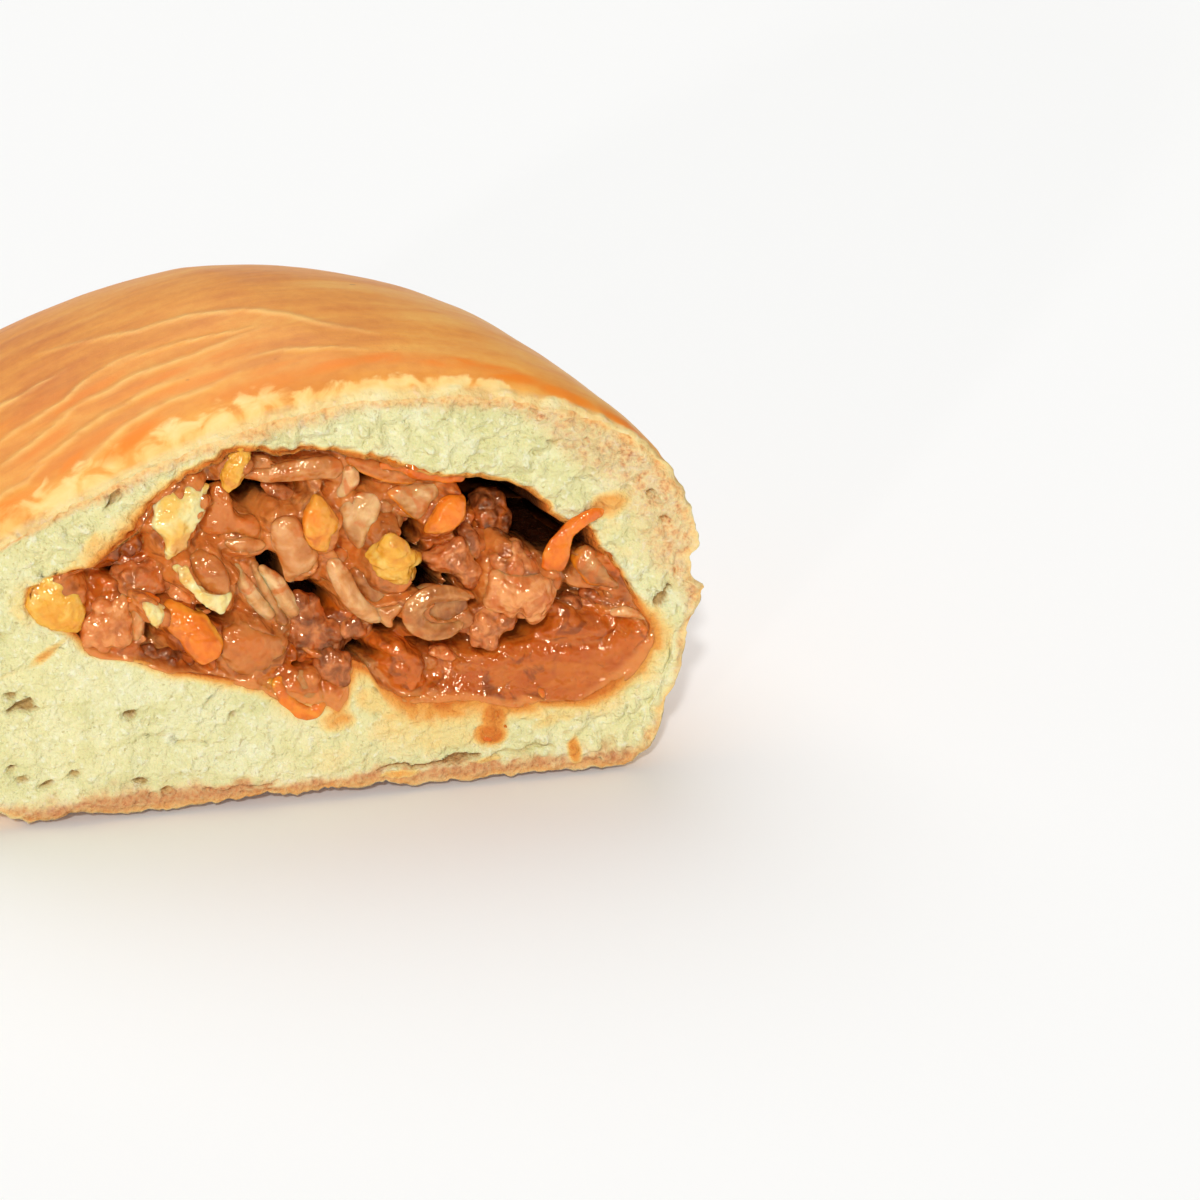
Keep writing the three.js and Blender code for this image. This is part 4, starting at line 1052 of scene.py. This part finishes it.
POTATO_LUMPS = [
    (0.3, 0.0, None, -1.9, 3.2, 0.3, [(6.1, 23.3), (6.9, 24.1), (7.3, 25.2), (8.0, 25.5), (9.0, 24.9),
        (9.6, 23.8), (10.4, 23.3), (10.7, 22.3), (10.0, 21.6), (9.9, 20.8), (9.2, 20.1), (8.1, 20.0),
        (7.3, 20.3), (6.7, 21.8)]),
    (0.8, 0.0, None, -0.9, 2.4, 0.26, [(-10.4, 30.9), (-9.0, 31.2), (-7.5, 30.9), (-7.8, 29.2),
        (-8.4, 28.0), (-9.2, 26.6), (-9.7, 25.2), (-10.9, 24.5), (-11.6, 25.2), (-11.8, 26.8),
        (-12.7, 27.6), (-12.4, 29.1), (-11.5, 30.0)]),
    (0.85, 0.0, None, -1.3, 1.6, 0.24, [(-10.8, 23.9), (-10.0, 24.2), (-9.4, 23.1), (-8.5, 21.8),
        (-7.4, 21.0), (-6.2, 20.9), (-6.8, 19.2), (-7.7, 19.4), (-8.7, 20.4), (-9.5, 21.9),
        (-10.4, 22.8)]),
    (0.9, 0.0, None, -1.2, 1.6, 0.14, [(-13.6, 20.6), (-12.4, 20.4), (-11.7, 19.7), (-12.2, 18.7),
        (-12.8, 18.4), (-13.5, 19.4)]),
    (0.22, 0.0, None, -0.5, 1.8, 0.1, [(-4.5, 33.9), (-3.8, 33.4), (-4.0, 32.2), (-4.7, 31.1),
        (-5.7, 30.1), (-6.3, 30.7), (-6.4, 31.9), (-5.8, 33.2)]),
    (0.25, 0.0, None, -0.45, 2.8, 0.14, [(-24.4, 21.4), (-23.8, 23.0), (-22.2, 24.0), (-20.4, 24.0),
        (-19.3, 22.8), (-18.6, 21.9), (-18.5, 20.5), (-18.7, 19.1), (-19.4, 18.2), (-20.9, 18.3),
        (-22.6, 18.9), (-24.0, 20.0)]),
    (0.7, 0.0, None, 0.3, 1.0, 0.06, [(17.5, 22.9), (18.2, 23.3), (18.7, 22.9), (18.2, 22.4)]),
]

potato = moist_material(
    "soaked_potato",
    [srgb(228, 154, 44), srgb(234, 172, 60), srgb(238, 190, 88), srgb(237, 209, 130), srgb(236, 222, 158)],
    srgb(220, 140, 54), srgb(236, 164, 70), 1.6, 0.24, scatter=0.6, radius=(1.0, 0.7, 0.35))
finished("potato_dice", lumps(POTATO_LUMPS, 60, 84, 101, 2.5, fine=0.14), potato)


# --- Sauce and fine mince ------------------------------------------------------------------------
# The bulk of the filling: fine mince and shreds of onion and carrot bound by cooked-down gravy,
# thick with fat. It set to an uneven glossy mass, with a smooth pool along the lower right, and
# laps up round the larger pieces.

# The front of the mass is worked out on a raster: its cell, and what it covers.
RASTER = 0.12
RASTER_X, RASTER_Z = np.arange(-27, 35, RASTER), np.arange(4, 37, RASTER)
SAUCE_COLUMNS, SAUCE_FRONT_ROWS, SAUCE_SIDE_ROWS = 520, 160, 16
# Depth of the mass, how far its rim reaches into the dough, and the room between its sides and it.
SAUCE_DEPTH, WALL_OVERLAP, SIDE_ROOM = HOLLOW_DEPTH - 0.5, 0.7, 1.0
# The air pocket: its middle and half width in degrees round the hollow, its drop and its run back.
POCKET_MIDDLE, POCKET_HALF, POCKET_DIP, POCKET_RUN = 20.0, 22.0, 5.5, 22.0
# The pool of sauce: its middle, half sizes and the height of its upper shore.
POOL_X, POOL_Z, POOL_HALF_WIDTH, POOL_HALF_HEIGHT, SHORE = 22.3, 10.4, 9.6, 3.8, 11.5
# How deep the mass lies in the middle, under the roof of the hollow and at the shore.
MIDDLE_SINK, ROOF_SINK, SHORE_SINK = 2.4, 1.3, 0.8
# Granules of fine mince and shreds, the lengths and half widths of the shreds, the sizes of the
# granules, how flat each lies, and how their edges and those of the sauce's laps blend in.
FINE_LUMPS, SHREDS, SHRED_LENGTH, SHRED_WIDTH = 700, 320, (1.2, 4.4), (0.4, 0.9)
GRANULE, GRANULE_SPREAD, SHRED_FLATNESS, GRANULE_FLATNESS = 0.4, 0.8, 0.55, 0.75
BLEND, LAP_BLEND = 0.3, 0.5
# Sauce along the strips: how far behind them, how wide, how flat, and how much like onion it is.
STRIP_LAP, STRIP_LAP_WIDTH, STRIP_LAP_FLATNESS, STRIP_LAP_ONION = 0.55, 1.2, 0.3, 0.5
# Sauce round the lumps: the share of their thickness that it leaves bare, how uneven it is, and how
# steeply it falls away from a lump or a swell.
BARE_SHARE = {"beef": 0.44, "onion": 0.34, "carrot": 0.38, "potato": 0.34}
LAP_UNEVEN, LAP_SLOPE, SWELL_SLOPE, SWELL_HEIGHT, SWELL_ROUND, LAP_MARGIN = 0.9, 1.6, 0.9, 2.2, 2.0, 2.2
# Hollows between the pieces: across, up, half width, half height, tilt and depth.
GAPS = [
    (20.4, 26.9, 5.2, 2.7, -38, 16.0), (22.4, 25.0, 2.8, 1.5, -38, 14.0),
    (26.0, 23.2, 1.8, 1.5, -20, 12.0), (9.9, 24.6, 1.1, 1.0, 0, 8.0), (11.2, 20.9, 2.4, 0.9, -65, 9.0),
    (8.1, 16.3, 1.3, 0.7, 10, 7.0), (-1.6, 22.0, 1.7, 0.8, -70, 7.0), (1.4, 19.2, 2.2, 1.0, -40, 5.0),
    (-13.2, 22.0, 2.6, 0.7, -20, 2.6), (4.6, 13.8, 2.6, 0.7, -10, 3.0),
    (-7.4, 18.8, 1.6, 0.6, -30, 3.0), (-3.0, 29.9, 3.4, 1.0, -6, 7.0), (6.3, 30.0, 1.0, 0.5, 0, 5.0),
    (0.6, 12.9, 0.8, 0.3, 0, 3.0), (-13.2, 17.6, 0.6, 1.0, 20, 5.0), (11.3, 23.0, 0.5, 0.5, 0, 5.0),
    (24.2, 20.8, 0.7, 1.2, 0, 5.0), (15.3, 17.8, 0.5, 0.5, 0, 3.0), (19.6, 14.4, 3.4, 0.9, 14, 2.2),
    (14.0, 13.6, 3.4, 0.8, -4, 1.8), (25.6, 16.9, 2.2, 0.6, 0, 1.6), (-19.6, 17.9, 0.7, 0.6, 40, 3.0),
    (23.8, 17.4, 1.2, 0.7, 0, 3.5), (13.6, 19.4, 0.8, 0.5, -50, 4.0), (-9.4, 14.4, 1.2, 0.5, -30, 1.2),
    (16.4, 12.7, 0.4, 0.3, 0, 1.2),
]
# Swells of sauce: tint, how amber, how far they swell out of the cut, and outline.
SWELLS = [
    (0.6, 0.8, 0.3, [(6.3, 14.3), (7.0, 15.2), (8.3, 15.3), (10.0, 14.3), (11.4, 13.2), (11.6, 11.5),
        (11.0, 9.6), (9.9, 8.7), (8.7, 8.8), (7.4, 10.7), (6.9, 12.0), (6.2, 13.3)]),
    (0.5, 0.6, 0.5, [(1.7, 11.4), (2.6, 11.8), (3.6, 11.8), (4.6, 10.9), (4.8, 9.6), (4.9, 8.4),
        (4.4, 7.4), (3.4, 6.5), (2.6, 6.2), (2.0, 7.3), (1.7, 8.5), (1.4, 9.9)]),
    (0.55, 0.5, 0.35, [(-2.4, 12.6), (-0.4, 13.2), (1.6, 12.4), (2.6, 10.4), (2.2, 8.6), (0.6, 8.0),
        (-1.0, 9.0), (-2.2, 10.6)]),
    (0.95, 0.6, 0.0, [(-24.0, 20.6), (-22.8, 23.4), (-20.4, 24.6), (-18.2, 23.4), (-17.6, 20.6),
        (-18.6, 18.0), (-21.0, 17.8), (-23.2, 18.8)]),
    (0.5, 0.7, 0.1, [(-20.2, 18.6), (-18.0, 19.6), (-15.4, 18.6), (-13.4, 16.4), (-14.6, 15.2),
        (-17.2, 15.4), (-19.4, 17.0)]),
    (0.5, 0.4, -0.6, [(-12.8, 14.4), (-9.0, 15.0), (-5.4, 13.4), (-3.2, 12.2), (-5.6, 11.6),
        (-9.4, 12.8)]),
    (0.5, 0.5, 0.0, [(20.6, 15.2), (23.4, 16.4), (26.6, 15.6), (29.4, 14.4), (28.0, 12.6),
        (24.0, 12.4), (21.2, 13.4)]),
]


def sauce_recess(x, z, inner):
    """How far the mass lies behind the cut, and where the pool is: a little proud along the lower
    edge and in the pool, deeper in the middle and under the roof, with slow waves. inner is the
    distance from the lip of the hollow."""
    place = np.stack([x, 0 * x, z], -1)
    low = low_side(z)
    recess = 0.2 - 0.3 * low + MIDDLE_SINK * smooth((inner + 0.3) / 3.6)
    recess = recess + 0.6 * smooth(0.3 - (inner + 0.6 * low) / 0.6)
    roof = smooth((np.sin(np.arctan2(z - HOLLOW_Z, x - HOLLOW_X)) - 0.25) / 0.4)
    recess = recess + ROOF_SINK * roof * smooth((x + 12) / 8)
    pool = smooth(1.6 - np.hypot((x - POOL_X) / POOL_HALF_WIDTH, (z - POOL_Z) / POOL_HALF_HEIGHT))
    recess = recess * (1 - 0.92 * pool) + SHORE_SINK * smooth((z - SHORE) / 3.0) * pool
    waves = 0.5 * noise(place, 4.0, 61) + 0.2 * noise(place, 1.6, 62)
    return recess + waves * (1 - 0.6 * pool), pool


def soft_lower(first, second, first_values, second_values, blend):
    """The smaller of two distances, rounded where they are alike, with their values blended in
    the same proportion: a polynomial smooth minimum."""
    share = np.clip(0.5 + 0.5 * (second - first) / blend, 0, 1)
    lower = second * (1 - share) + first * share - blend * share * (1 - share)
    return lower, second_values * (1 - share[..., None]) + first_values * share[..., None]


def blurred(values, cells):
    """Moving average over a square of cells, from running sums."""
    for axis in (0, 1):
        padded = np.concatenate([np.repeat(np.take(values, [0], axis), cells, axis), values,
                                 np.repeat(np.take(values, [-1], axis), cells, axis)], axis)
        sums = np.cumsum(padded, axis)
        high = np.take(sums, np.arange(2 * cells, sums.shape[axis]), axis)
        low = np.take(sums, np.arange(0, sums.shape[axis] - 2 * cells), axis)
        values = (high - low) / (2 * cells)
    return values


def raster_window(low, high):
    """The cells of the raster inside a box, given by two of its corners, across and up."""
    i0, i1 = np.searchsorted(RASTER_X, [low[0], high[0]])
    k0, k1 = np.searchsorted(RASTER_Z, [low[1], high[1]])
    return slice(i0, i1), slice(k0, k1)


def inside_distance(x, z, outline):
    """Distance to a closed outline, positive inside it: the nearest of its edges, with a sign from
    the number of edges to the right of the point."""
    start = closed_curve(outline, 40)
    step = np.roll(start, -1, axis=0) - start
    dx, dz = x[..., None] - start[:, 0], z[..., None] - start[:, 1]
    share = np.clip((dx * step[:, 0] + dz * step[:, 1]) / (step**2).sum(-1), 0, 1)
    away = np.hypot(dx - share * step[:, 0], dz - share * step[:, 1]).min(-1)
    spans = (dz < 0) != (dz - step[:, 1] < 0)
    rightward = dx - dz * step[:, 0] / np.where(step[:, 1] == 0, 1e-9, step[:, 1]) < 0
    return np.where((spans & rightward).sum(-1) % 2 == 1, away, -away)


plane_x, plane_z = np.meshgrid(RASTER_X, RASTER_Z, indexing="ij")
plane = np.stack([plane_x, 0 * plane_x, plane_z], -1)
plane_angle = np.arctan2(plane_z - HOLLOW_Z, plane_x - HOLLOW_X)
inner = ragged_lip(plane_angle) - np.hypot(plane_z - HOLLOW_Z, plane_x - HOLLOW_X)
height, pool = sauce_recess(plane_x, plane_z, inner)
bed = height.copy()
# Values carried along with the height: tint, how amber it is, and how much of it is onion.
blotches = noise(plane, 3.4, 60, 3)
values = np.stack([0.32 + 0.3 * pool + 0.45 * blotches, 0.3 + 0.3 * pool - 0.3 * blotches, 0 * pool], -1)
wobble = np.stack([noise(plane, 1.7, 66, 2), noise(plane, 1.7, 67, 2)], -1)

# Granules and shreds strewn over the bed of sauce, fewer in the pool: each runs from a start to a
# finish, at a depth behind the cut at either end.
rng = np.random.default_rng(63)
count = FINE_LUMPS + SHREDS
is_shred = np.arange(count) % (count // SHREDS) == 0
start = np.stack([rng.uniform(-24, 32, count), rng.uniform(6, 34, count)], -1)
length = np.where(is_shred, rng.uniform(*SHRED_LENGTH, count), 0)
way = np.radians(rng.normal(-20, 45, count))
finish = start + length[:, None] * np.stack([np.cos(way), np.sin(way)], -1)
half_width = np.where(
    is_shred, rng.uniform(*SHRED_WIDTH, count), GRANULE + GRANULE_SPREAD * rng.random(count) ** 1.5)
flatness = np.where(is_shred, SHRED_FLATNESS, GRANULE_FLATNESS)
column = ((start[:, 0] - RASTER_X[0]) / RASTER).astype(int)
row = ((start[:, 1] - RASTER_Z[0]) / RASTER).astype(int)
start_depth = bed[column, row] + half_width * rng.uniform(-0.15, 0.55, count)
finish_depth = start_depth + length * rng.normal(0, 0.25, count)
lump_place = np.stack([start[:, 0], 0 * way, start[:, 1]], -1)
tint = 0.45 + 0.3 * noise(lump_place, 5.0, 64) + rng.uniform(-0.25, 0.25, count)
amber = np.where(is_shred & (rng.random(count) < 0.35), 0.9, 0.4 * (noise(lump_place, 4.0, 65) > 0.1))
onion_share = np.where(is_shred & (amber < 0.8), 0.9, 0.6 * (rng.random(count) < 0.12))
room = inner[column, row] > 0.3 + 0.5 * half_width
kept = room & (rng.random(count) < 1 - 0.95 * pool[column, row])
strewn = np.concatenate([start, finish, np.stack([
    start_depth, finish_depth, half_width, flatness, tint, amber, onion_share], -1)], 1)[kept]
strip_laps = [
    (*a[:2], *b[:2], a[2] + STRIP_LAP, b[2] + STRIP_LAP, a[3] * STRIP_LAP_WIDTH, STRIP_LAP_FLATNESS,
     tint_there, amber_there, STRIP_LAP_ONION)
    for tint_there, amber_there, _, path in ONION_STRIPS + CARROT_STRIPS
    for a, b in zip(path[:-1], path[1:])]
for ax, az, bx, bz, near, far, size, flat, *own in np.concatenate([strewn, np.array(strip_laps)]):
    reach = size * 1.35
    ends = np.array([(ax, az), (bx, bz)])
    window = raster_window(ends.min(0) - reach, ends.max(0) + reach)
    shifted = wobble[window] * 0.35 * size
    run = max((bx - ax) ** 2 + (bz - az) ** 2, 1e-9)
    px, pz = plane_x[window] + shifted[..., 0], plane_z[window] + shifted[..., 1]
    share = np.clip(((px - ax) * (bx - ax) + (pz - az) * (bz - az)) / run, 0, 1)
    away = np.hypot(px - ax - share * (bx - ax), pz - az - share * (bz - az)) / size
    top = near + (far - near) * share - flat * size * np.sqrt(np.clip(1 - away**2, 0, 1))
    top = top + 8 * np.clip(away - 0.95, 0, 9)
    height[window], values[window] = soft_lower(top, height[window], np.array(own), values[window], BLEND)


def lap_sauce(outline, depth, slope, own, swollen=False):
    """Blends sauce into the raster inside an outline, at a depth behind the cut, and lets it fall
    away outside. It is uneven, or swells towards the middle along a circle."""
    corners = np.array(outline)
    window = raster_window(corners.min(0) - LAP_MARGIN, corners.max(0) + LAP_MARGIN)
    shifted = wobble[window] * 0.4
    inside = inside_distance(plane_x[window] + shifted[..., 0], plane_z[window] + shifted[..., 1], outline)
    if swollen:
        dome = np.sqrt(np.clip(1 - np.clip(1 - inside / SWELL_ROUND, 0, 1) ** 2, 0, 1))
        depth = depth + SWELL_HEIGHT * (1 - dome)
    else:
        depth = depth + LAP_UNEVEN * wobble[window][..., 1]
    top = depth + slope * np.clip(-inside, 0, 9) ** 1.3
    height[window], values[window] = soft_lower(
        top, height[window], np.array(own), values[window], LAP_BLEND)


for kind, table in (
        ("beef", BEEF), ("onion", ONION_LUMPS), ("carrot", CARROT_LUMPS), ("potato", POTATO_LUMPS)):
    pale_share = {"onion": 0.6, "potato": 0.5}.get(kind, 0.0)
    for tint, amber, _, front, thick, _, outline in table:
        own = (tint, 0.6 if pale_share else amber, pale_share)
        lap_sauce(outline, front + BARE_SHARE[kind] * thick, LAP_SLOPE, own)
for tint, amber, out, outline in SWELLS:
    lap_sauce(outline, -out, SWELL_SLOPE, (tint, amber, 0.0), swollen=True)

# Hollows and fine relief, and then the masks: sauce in the creases, narrow and wide ones, whose
# orange also stands in for light glowing through it, painted shade that darkens the hollows, and the
# thin light edge of the sauce.
gap = spot(plane_x + 0.5 * wobble[..., 0], plane_z + 0.5 * wobble[..., 1], GAPS)
height = height + gap
calm = 1 - 0.4 * pool
height = height - calm * (0.16 * puffs(plane, 1.1, 68) + 0.05 * noise(plane, 0.4, 69))
height = np.clip(height, np.where(inner < 0.4, -0.2, -0.8), 40)
# Creases in the mass, narrow and wide: partly real sauce gathered there, partly a painted glow of light
# through the sauce.
crease = 0.6 * smooth(0.2 + (height - blurred(height, 5)) / 0.5)
crease = crease + 0.4 * smooth(0.2 + (height - blurred(height, 14)) / 1.4)
# Painted shade: darker where the mass lies deep behind the cut and in the hollows between pieces.
depth_shade = np.maximum(smooth((height - 2.4) / 2.6), smooth(gap / 2.6 - 0.1))
thin_edge = smooth(1.0 - inner / 1.0 + 0.7 * blotches) * smooth((HOLLOW_Z - 1.5 - plane_z) / 3)


def sampled(raster, x, z):
    """Value of a raster at places between its cells: bilinear interpolation."""
    across = np.clip((x - RASTER_X[0]) / RASTER, 0, len(RASTER_X) - 1.001)
    upward = np.clip((z - RASTER_Z[0]) / RASTER, 0, len(RASTER_Z) - 1.001)
    i, k = across.astype(int), upward.astype(int)
    s, t = across - i, upward - k
    return ((raster[i, k] * (1 - s) + raster[i + 1, k] * s) * (1 - t)
            + (raster[i, k + 1] * (1 - s) + raster[i + 1, k + 1] * s) * t)


sauce_angles = np.interp(np.arange(SAUCE_COLUMNS) / SAUCE_COLUMNS * COLUMNS, np.arange(COLUMNS + 1),
                         np.append(np.unwrap(spoke_angles), spoke_angles[0] + 2 * np.pi))
sauce_rim = ragged_lip(sauce_angles) + WALL_OVERLAP
front_shares = (np.arange(SAUCE_FRONT_ROWS) / SAUCE_FRONT_ROWS)[:, None]
flat = hollow(sauce_angles, 0.0, sauce_rim * (1 - front_shares))
front_recess = sampled(height, flat[..., 0], flat[..., 2])
front = flat + np.stack([lean(front_recess / LENGTH), front_recess, 0 * front_recess], -1)
rim_recess = front_recess[0]
side_shares = (np.arange(1, SAUCE_SIDE_ROWS + 1) / (SAUCE_SIDE_ROWS + 0.5))[::-1, None] ** 0.8
side_depths = rim_recess + (SAUCE_DEPTH - rim_recess) * side_shares
narrowing = end_profile(side_depths / SAUCE_DEPTH, HOLLOW_ROUND)
dip = POCKET_DIP * smooth(1 - np.abs(np.degrees(sauce_angles) - POCKET_MIDDLE) / POCKET_HALF)
dip = dip * smooth(1.4 - side_depths / POCKET_RUN)
side_radius = np.maximum(sauce_rim * narrowing - SIDE_ROOM - dip, 0.05)
sides = hollow(sauce_angles, side_depths, side_radius)
middle_recess = sampled(height, np.array([HOLLOW_X]), np.array([HOLLOW_Z]))


def with_sides(front_values, side_value, middle_value):
    """An attribute in the order of the points: back pole, sides, front rows, middle."""
    side_values = np.full(sides.shape[0] * sides.shape[1], side_value)
    return np.concatenate([[side_value], side_values, front_values.ravel(), [middle_value]])


front_place = (flat[..., 0], flat[..., 2])
mass = (
    hollow(0.0, np.array([SAUCE_DEPTH]), 0.0),
    np.concatenate([sides, front])[None],
    hollow(0.0, middle_recess, 0.0),
    {
        "tint": with_sides(sampled(values[..., 0], *front_place), 0.2, 0.4),
        "amber": with_sides(sampled(values[..., 1], *front_place), 0.0, 0.0),
        "onion": with_sides(sampled(values[..., 2], *front_place), 0.0, 0.0),
        "crease": with_sides(sampled(crease, *front_place), 1.0, 0.5),
        "deep": with_sides(sampled(depth_shade, *front_place), 0.8, 0.5),
        "rim": with_sides(sampled(pool, *front_place), 0.0, 0.0),
        "thin": with_sides(sampled(thin_edge, *front_place), 0.0, 0.0),
    },
)
gravy = moist_material(
    "gravy_and_mince",
    [srgb(92, 36, 12), srgb(128, 56, 18), srgb(166, 80, 26), srgb(194, 106, 42), srgb(214, 138, 70)],
    srgb(210, 102, 18), srgb(168, 70, 14), 1.6, 0.16, reach=0.6)
tint_over(gravy, share_of(gravy, "amber", 0.75), srgb(214, 106, 24))
tint_over(gravy, share_of(gravy, "onion", 0.6), srgb(214, 146, 76))
streaked = texture(gravy, 3.0, 4.0, stretch=(0.5, 1.0, 1.2), distortion=1.2)
smear = maths(gravy, "MULTIPLY", span(gravy, streaked, 0.42, 0.65), attribute(gravy, "rim"))
tint_over(gravy, smear, srgb(204, 110, 34))
dark = texture(gravy, 1.8, 3.0, offset=(0.7, 0.3, 0.2), distortion=1.0)
tint_over(gravy, span(gravy, dark, 0.52, 0.7, 0.0, 0.65), srgb(122, 54, 20))
tint_over(gravy, share_of(gravy, "thin", 0.8), srgb(222, 140, 68))
# Painted shade in the deep hollows and on the sides of the mass.
tint_over(gravy, attribute(gravy, "deep"), srgb(44, 19, 8))
sauce_mass = finished("set_sauce_and_fine_mince", mass, gravy)
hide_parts("filling")


# --- Setting -------------------------------------------------------------------------------------
# A plain pale floor, a soft sky, three narrow lights in front and to the left, which give the wet
# surfaces their sparkle, a wide soft one above and behind, and the photograph's camera.

FLOOR_SIZE, FLOOR_GAP = 6000.0, 0.2
bpy.ops.mesh.primitive_plane_add(size=FLOOR_SIZE * MM, location=(0, 0, -FLOOR_GAP * MM))
floor = bpy.context.object
floor.name = "floor"
paper, shader = new_material("white_floor", 0.9)
shader.inputs["Base Color"].default_value = (0.96, 0.96, 0.95, 1)
floor.data.materials.append(paper)

world = bpy.data.worlds.new("soft_sky")
world.use_nodes = True
world.node_tree.nodes["Background"].inputs["Color"].default_value = (1.0, 0.998, 0.99, 1)
world.node_tree.nodes["Background"].inputs["Strength"].default_value = 0.32
bpy.context.scene.world = world

FACE_MIDDLE = (0.0, CUT_Y, 20.0)


def aimed(back):
    """The turn that points a light or camera against a direction."""
    return Vector([float(v) for v in back]).to_track_quat("Z", "Y")


def sunlike_light(name, place, spread, strength):
    """A light too far away to see, that fills an angle of so many degrees: soft when it is wide,
    sparkling when it is narrow."""
    light = bpy.data.lights.new(name, "SUN")
    light.angle = np.radians(spread)
    light.energy = strength
    lamp = bpy.data.objects.new(name, light)
    lamp.location = [v * MM for v in place]
    lamp.rotation_mode = "QUATERNION"
    lamp.rotation_quaternion = aimed(np.subtract(place, FACE_MIDDLE))
    bpy.context.scene.collection.objects.link(lamp)


sunlike_light("key_light", (-105, -420, 290), 3.0, 1.3)
sunlike_light("low_light", (-30, -480, 210), 3.0, 0.5)
sunlike_light("side_light", (-280, -470, 80), 3.0, 0.45)
sunlike_light("high_light", (-120, 260, 520), 60, 1.4)

CAMERA_TARGET, CAMERA_DISTANCE = np.array([26.9, -29.0, 17.0]), 300.0
CAMERA_AZIMUTH, CAMERA_ELEVATION = np.radians(-12.4), np.radians(23.2)
FOCAL_PIXELS, PHOTO_PIXELS, SENSOR = 3356.0, 1200.0, 36.0

camera_data = bpy.data.cameras.new("camera")
camera_data.sensor_width = SENSOR
camera_data.sensor_fit = "HORIZONTAL"
camera_data.lens = FOCAL_PIXELS / PHOTO_PIXELS * SENSOR
camera_data.clip_start = 0.01
camera = bpy.data.objects.new("camera", camera_data)
back = np.array([np.sin(CAMERA_AZIMUTH) * np.cos(CAMERA_ELEVATION),
                 -np.cos(CAMERA_AZIMUTH) * np.cos(CAMERA_ELEVATION), np.sin(CAMERA_ELEVATION)])
camera.location = [float(v) for v in (CAMERA_TARGET + back * CAMERA_DISTANCE) * MM]
camera.rotation_mode = "QUATERNION"
camera.rotation_quaternion = aimed(back)
bpy.context.scene.collection.objects.link(camera)
bpy.context.scene.camera = camera
bpy.context.scene.view_settings.view_transform = "Standard"
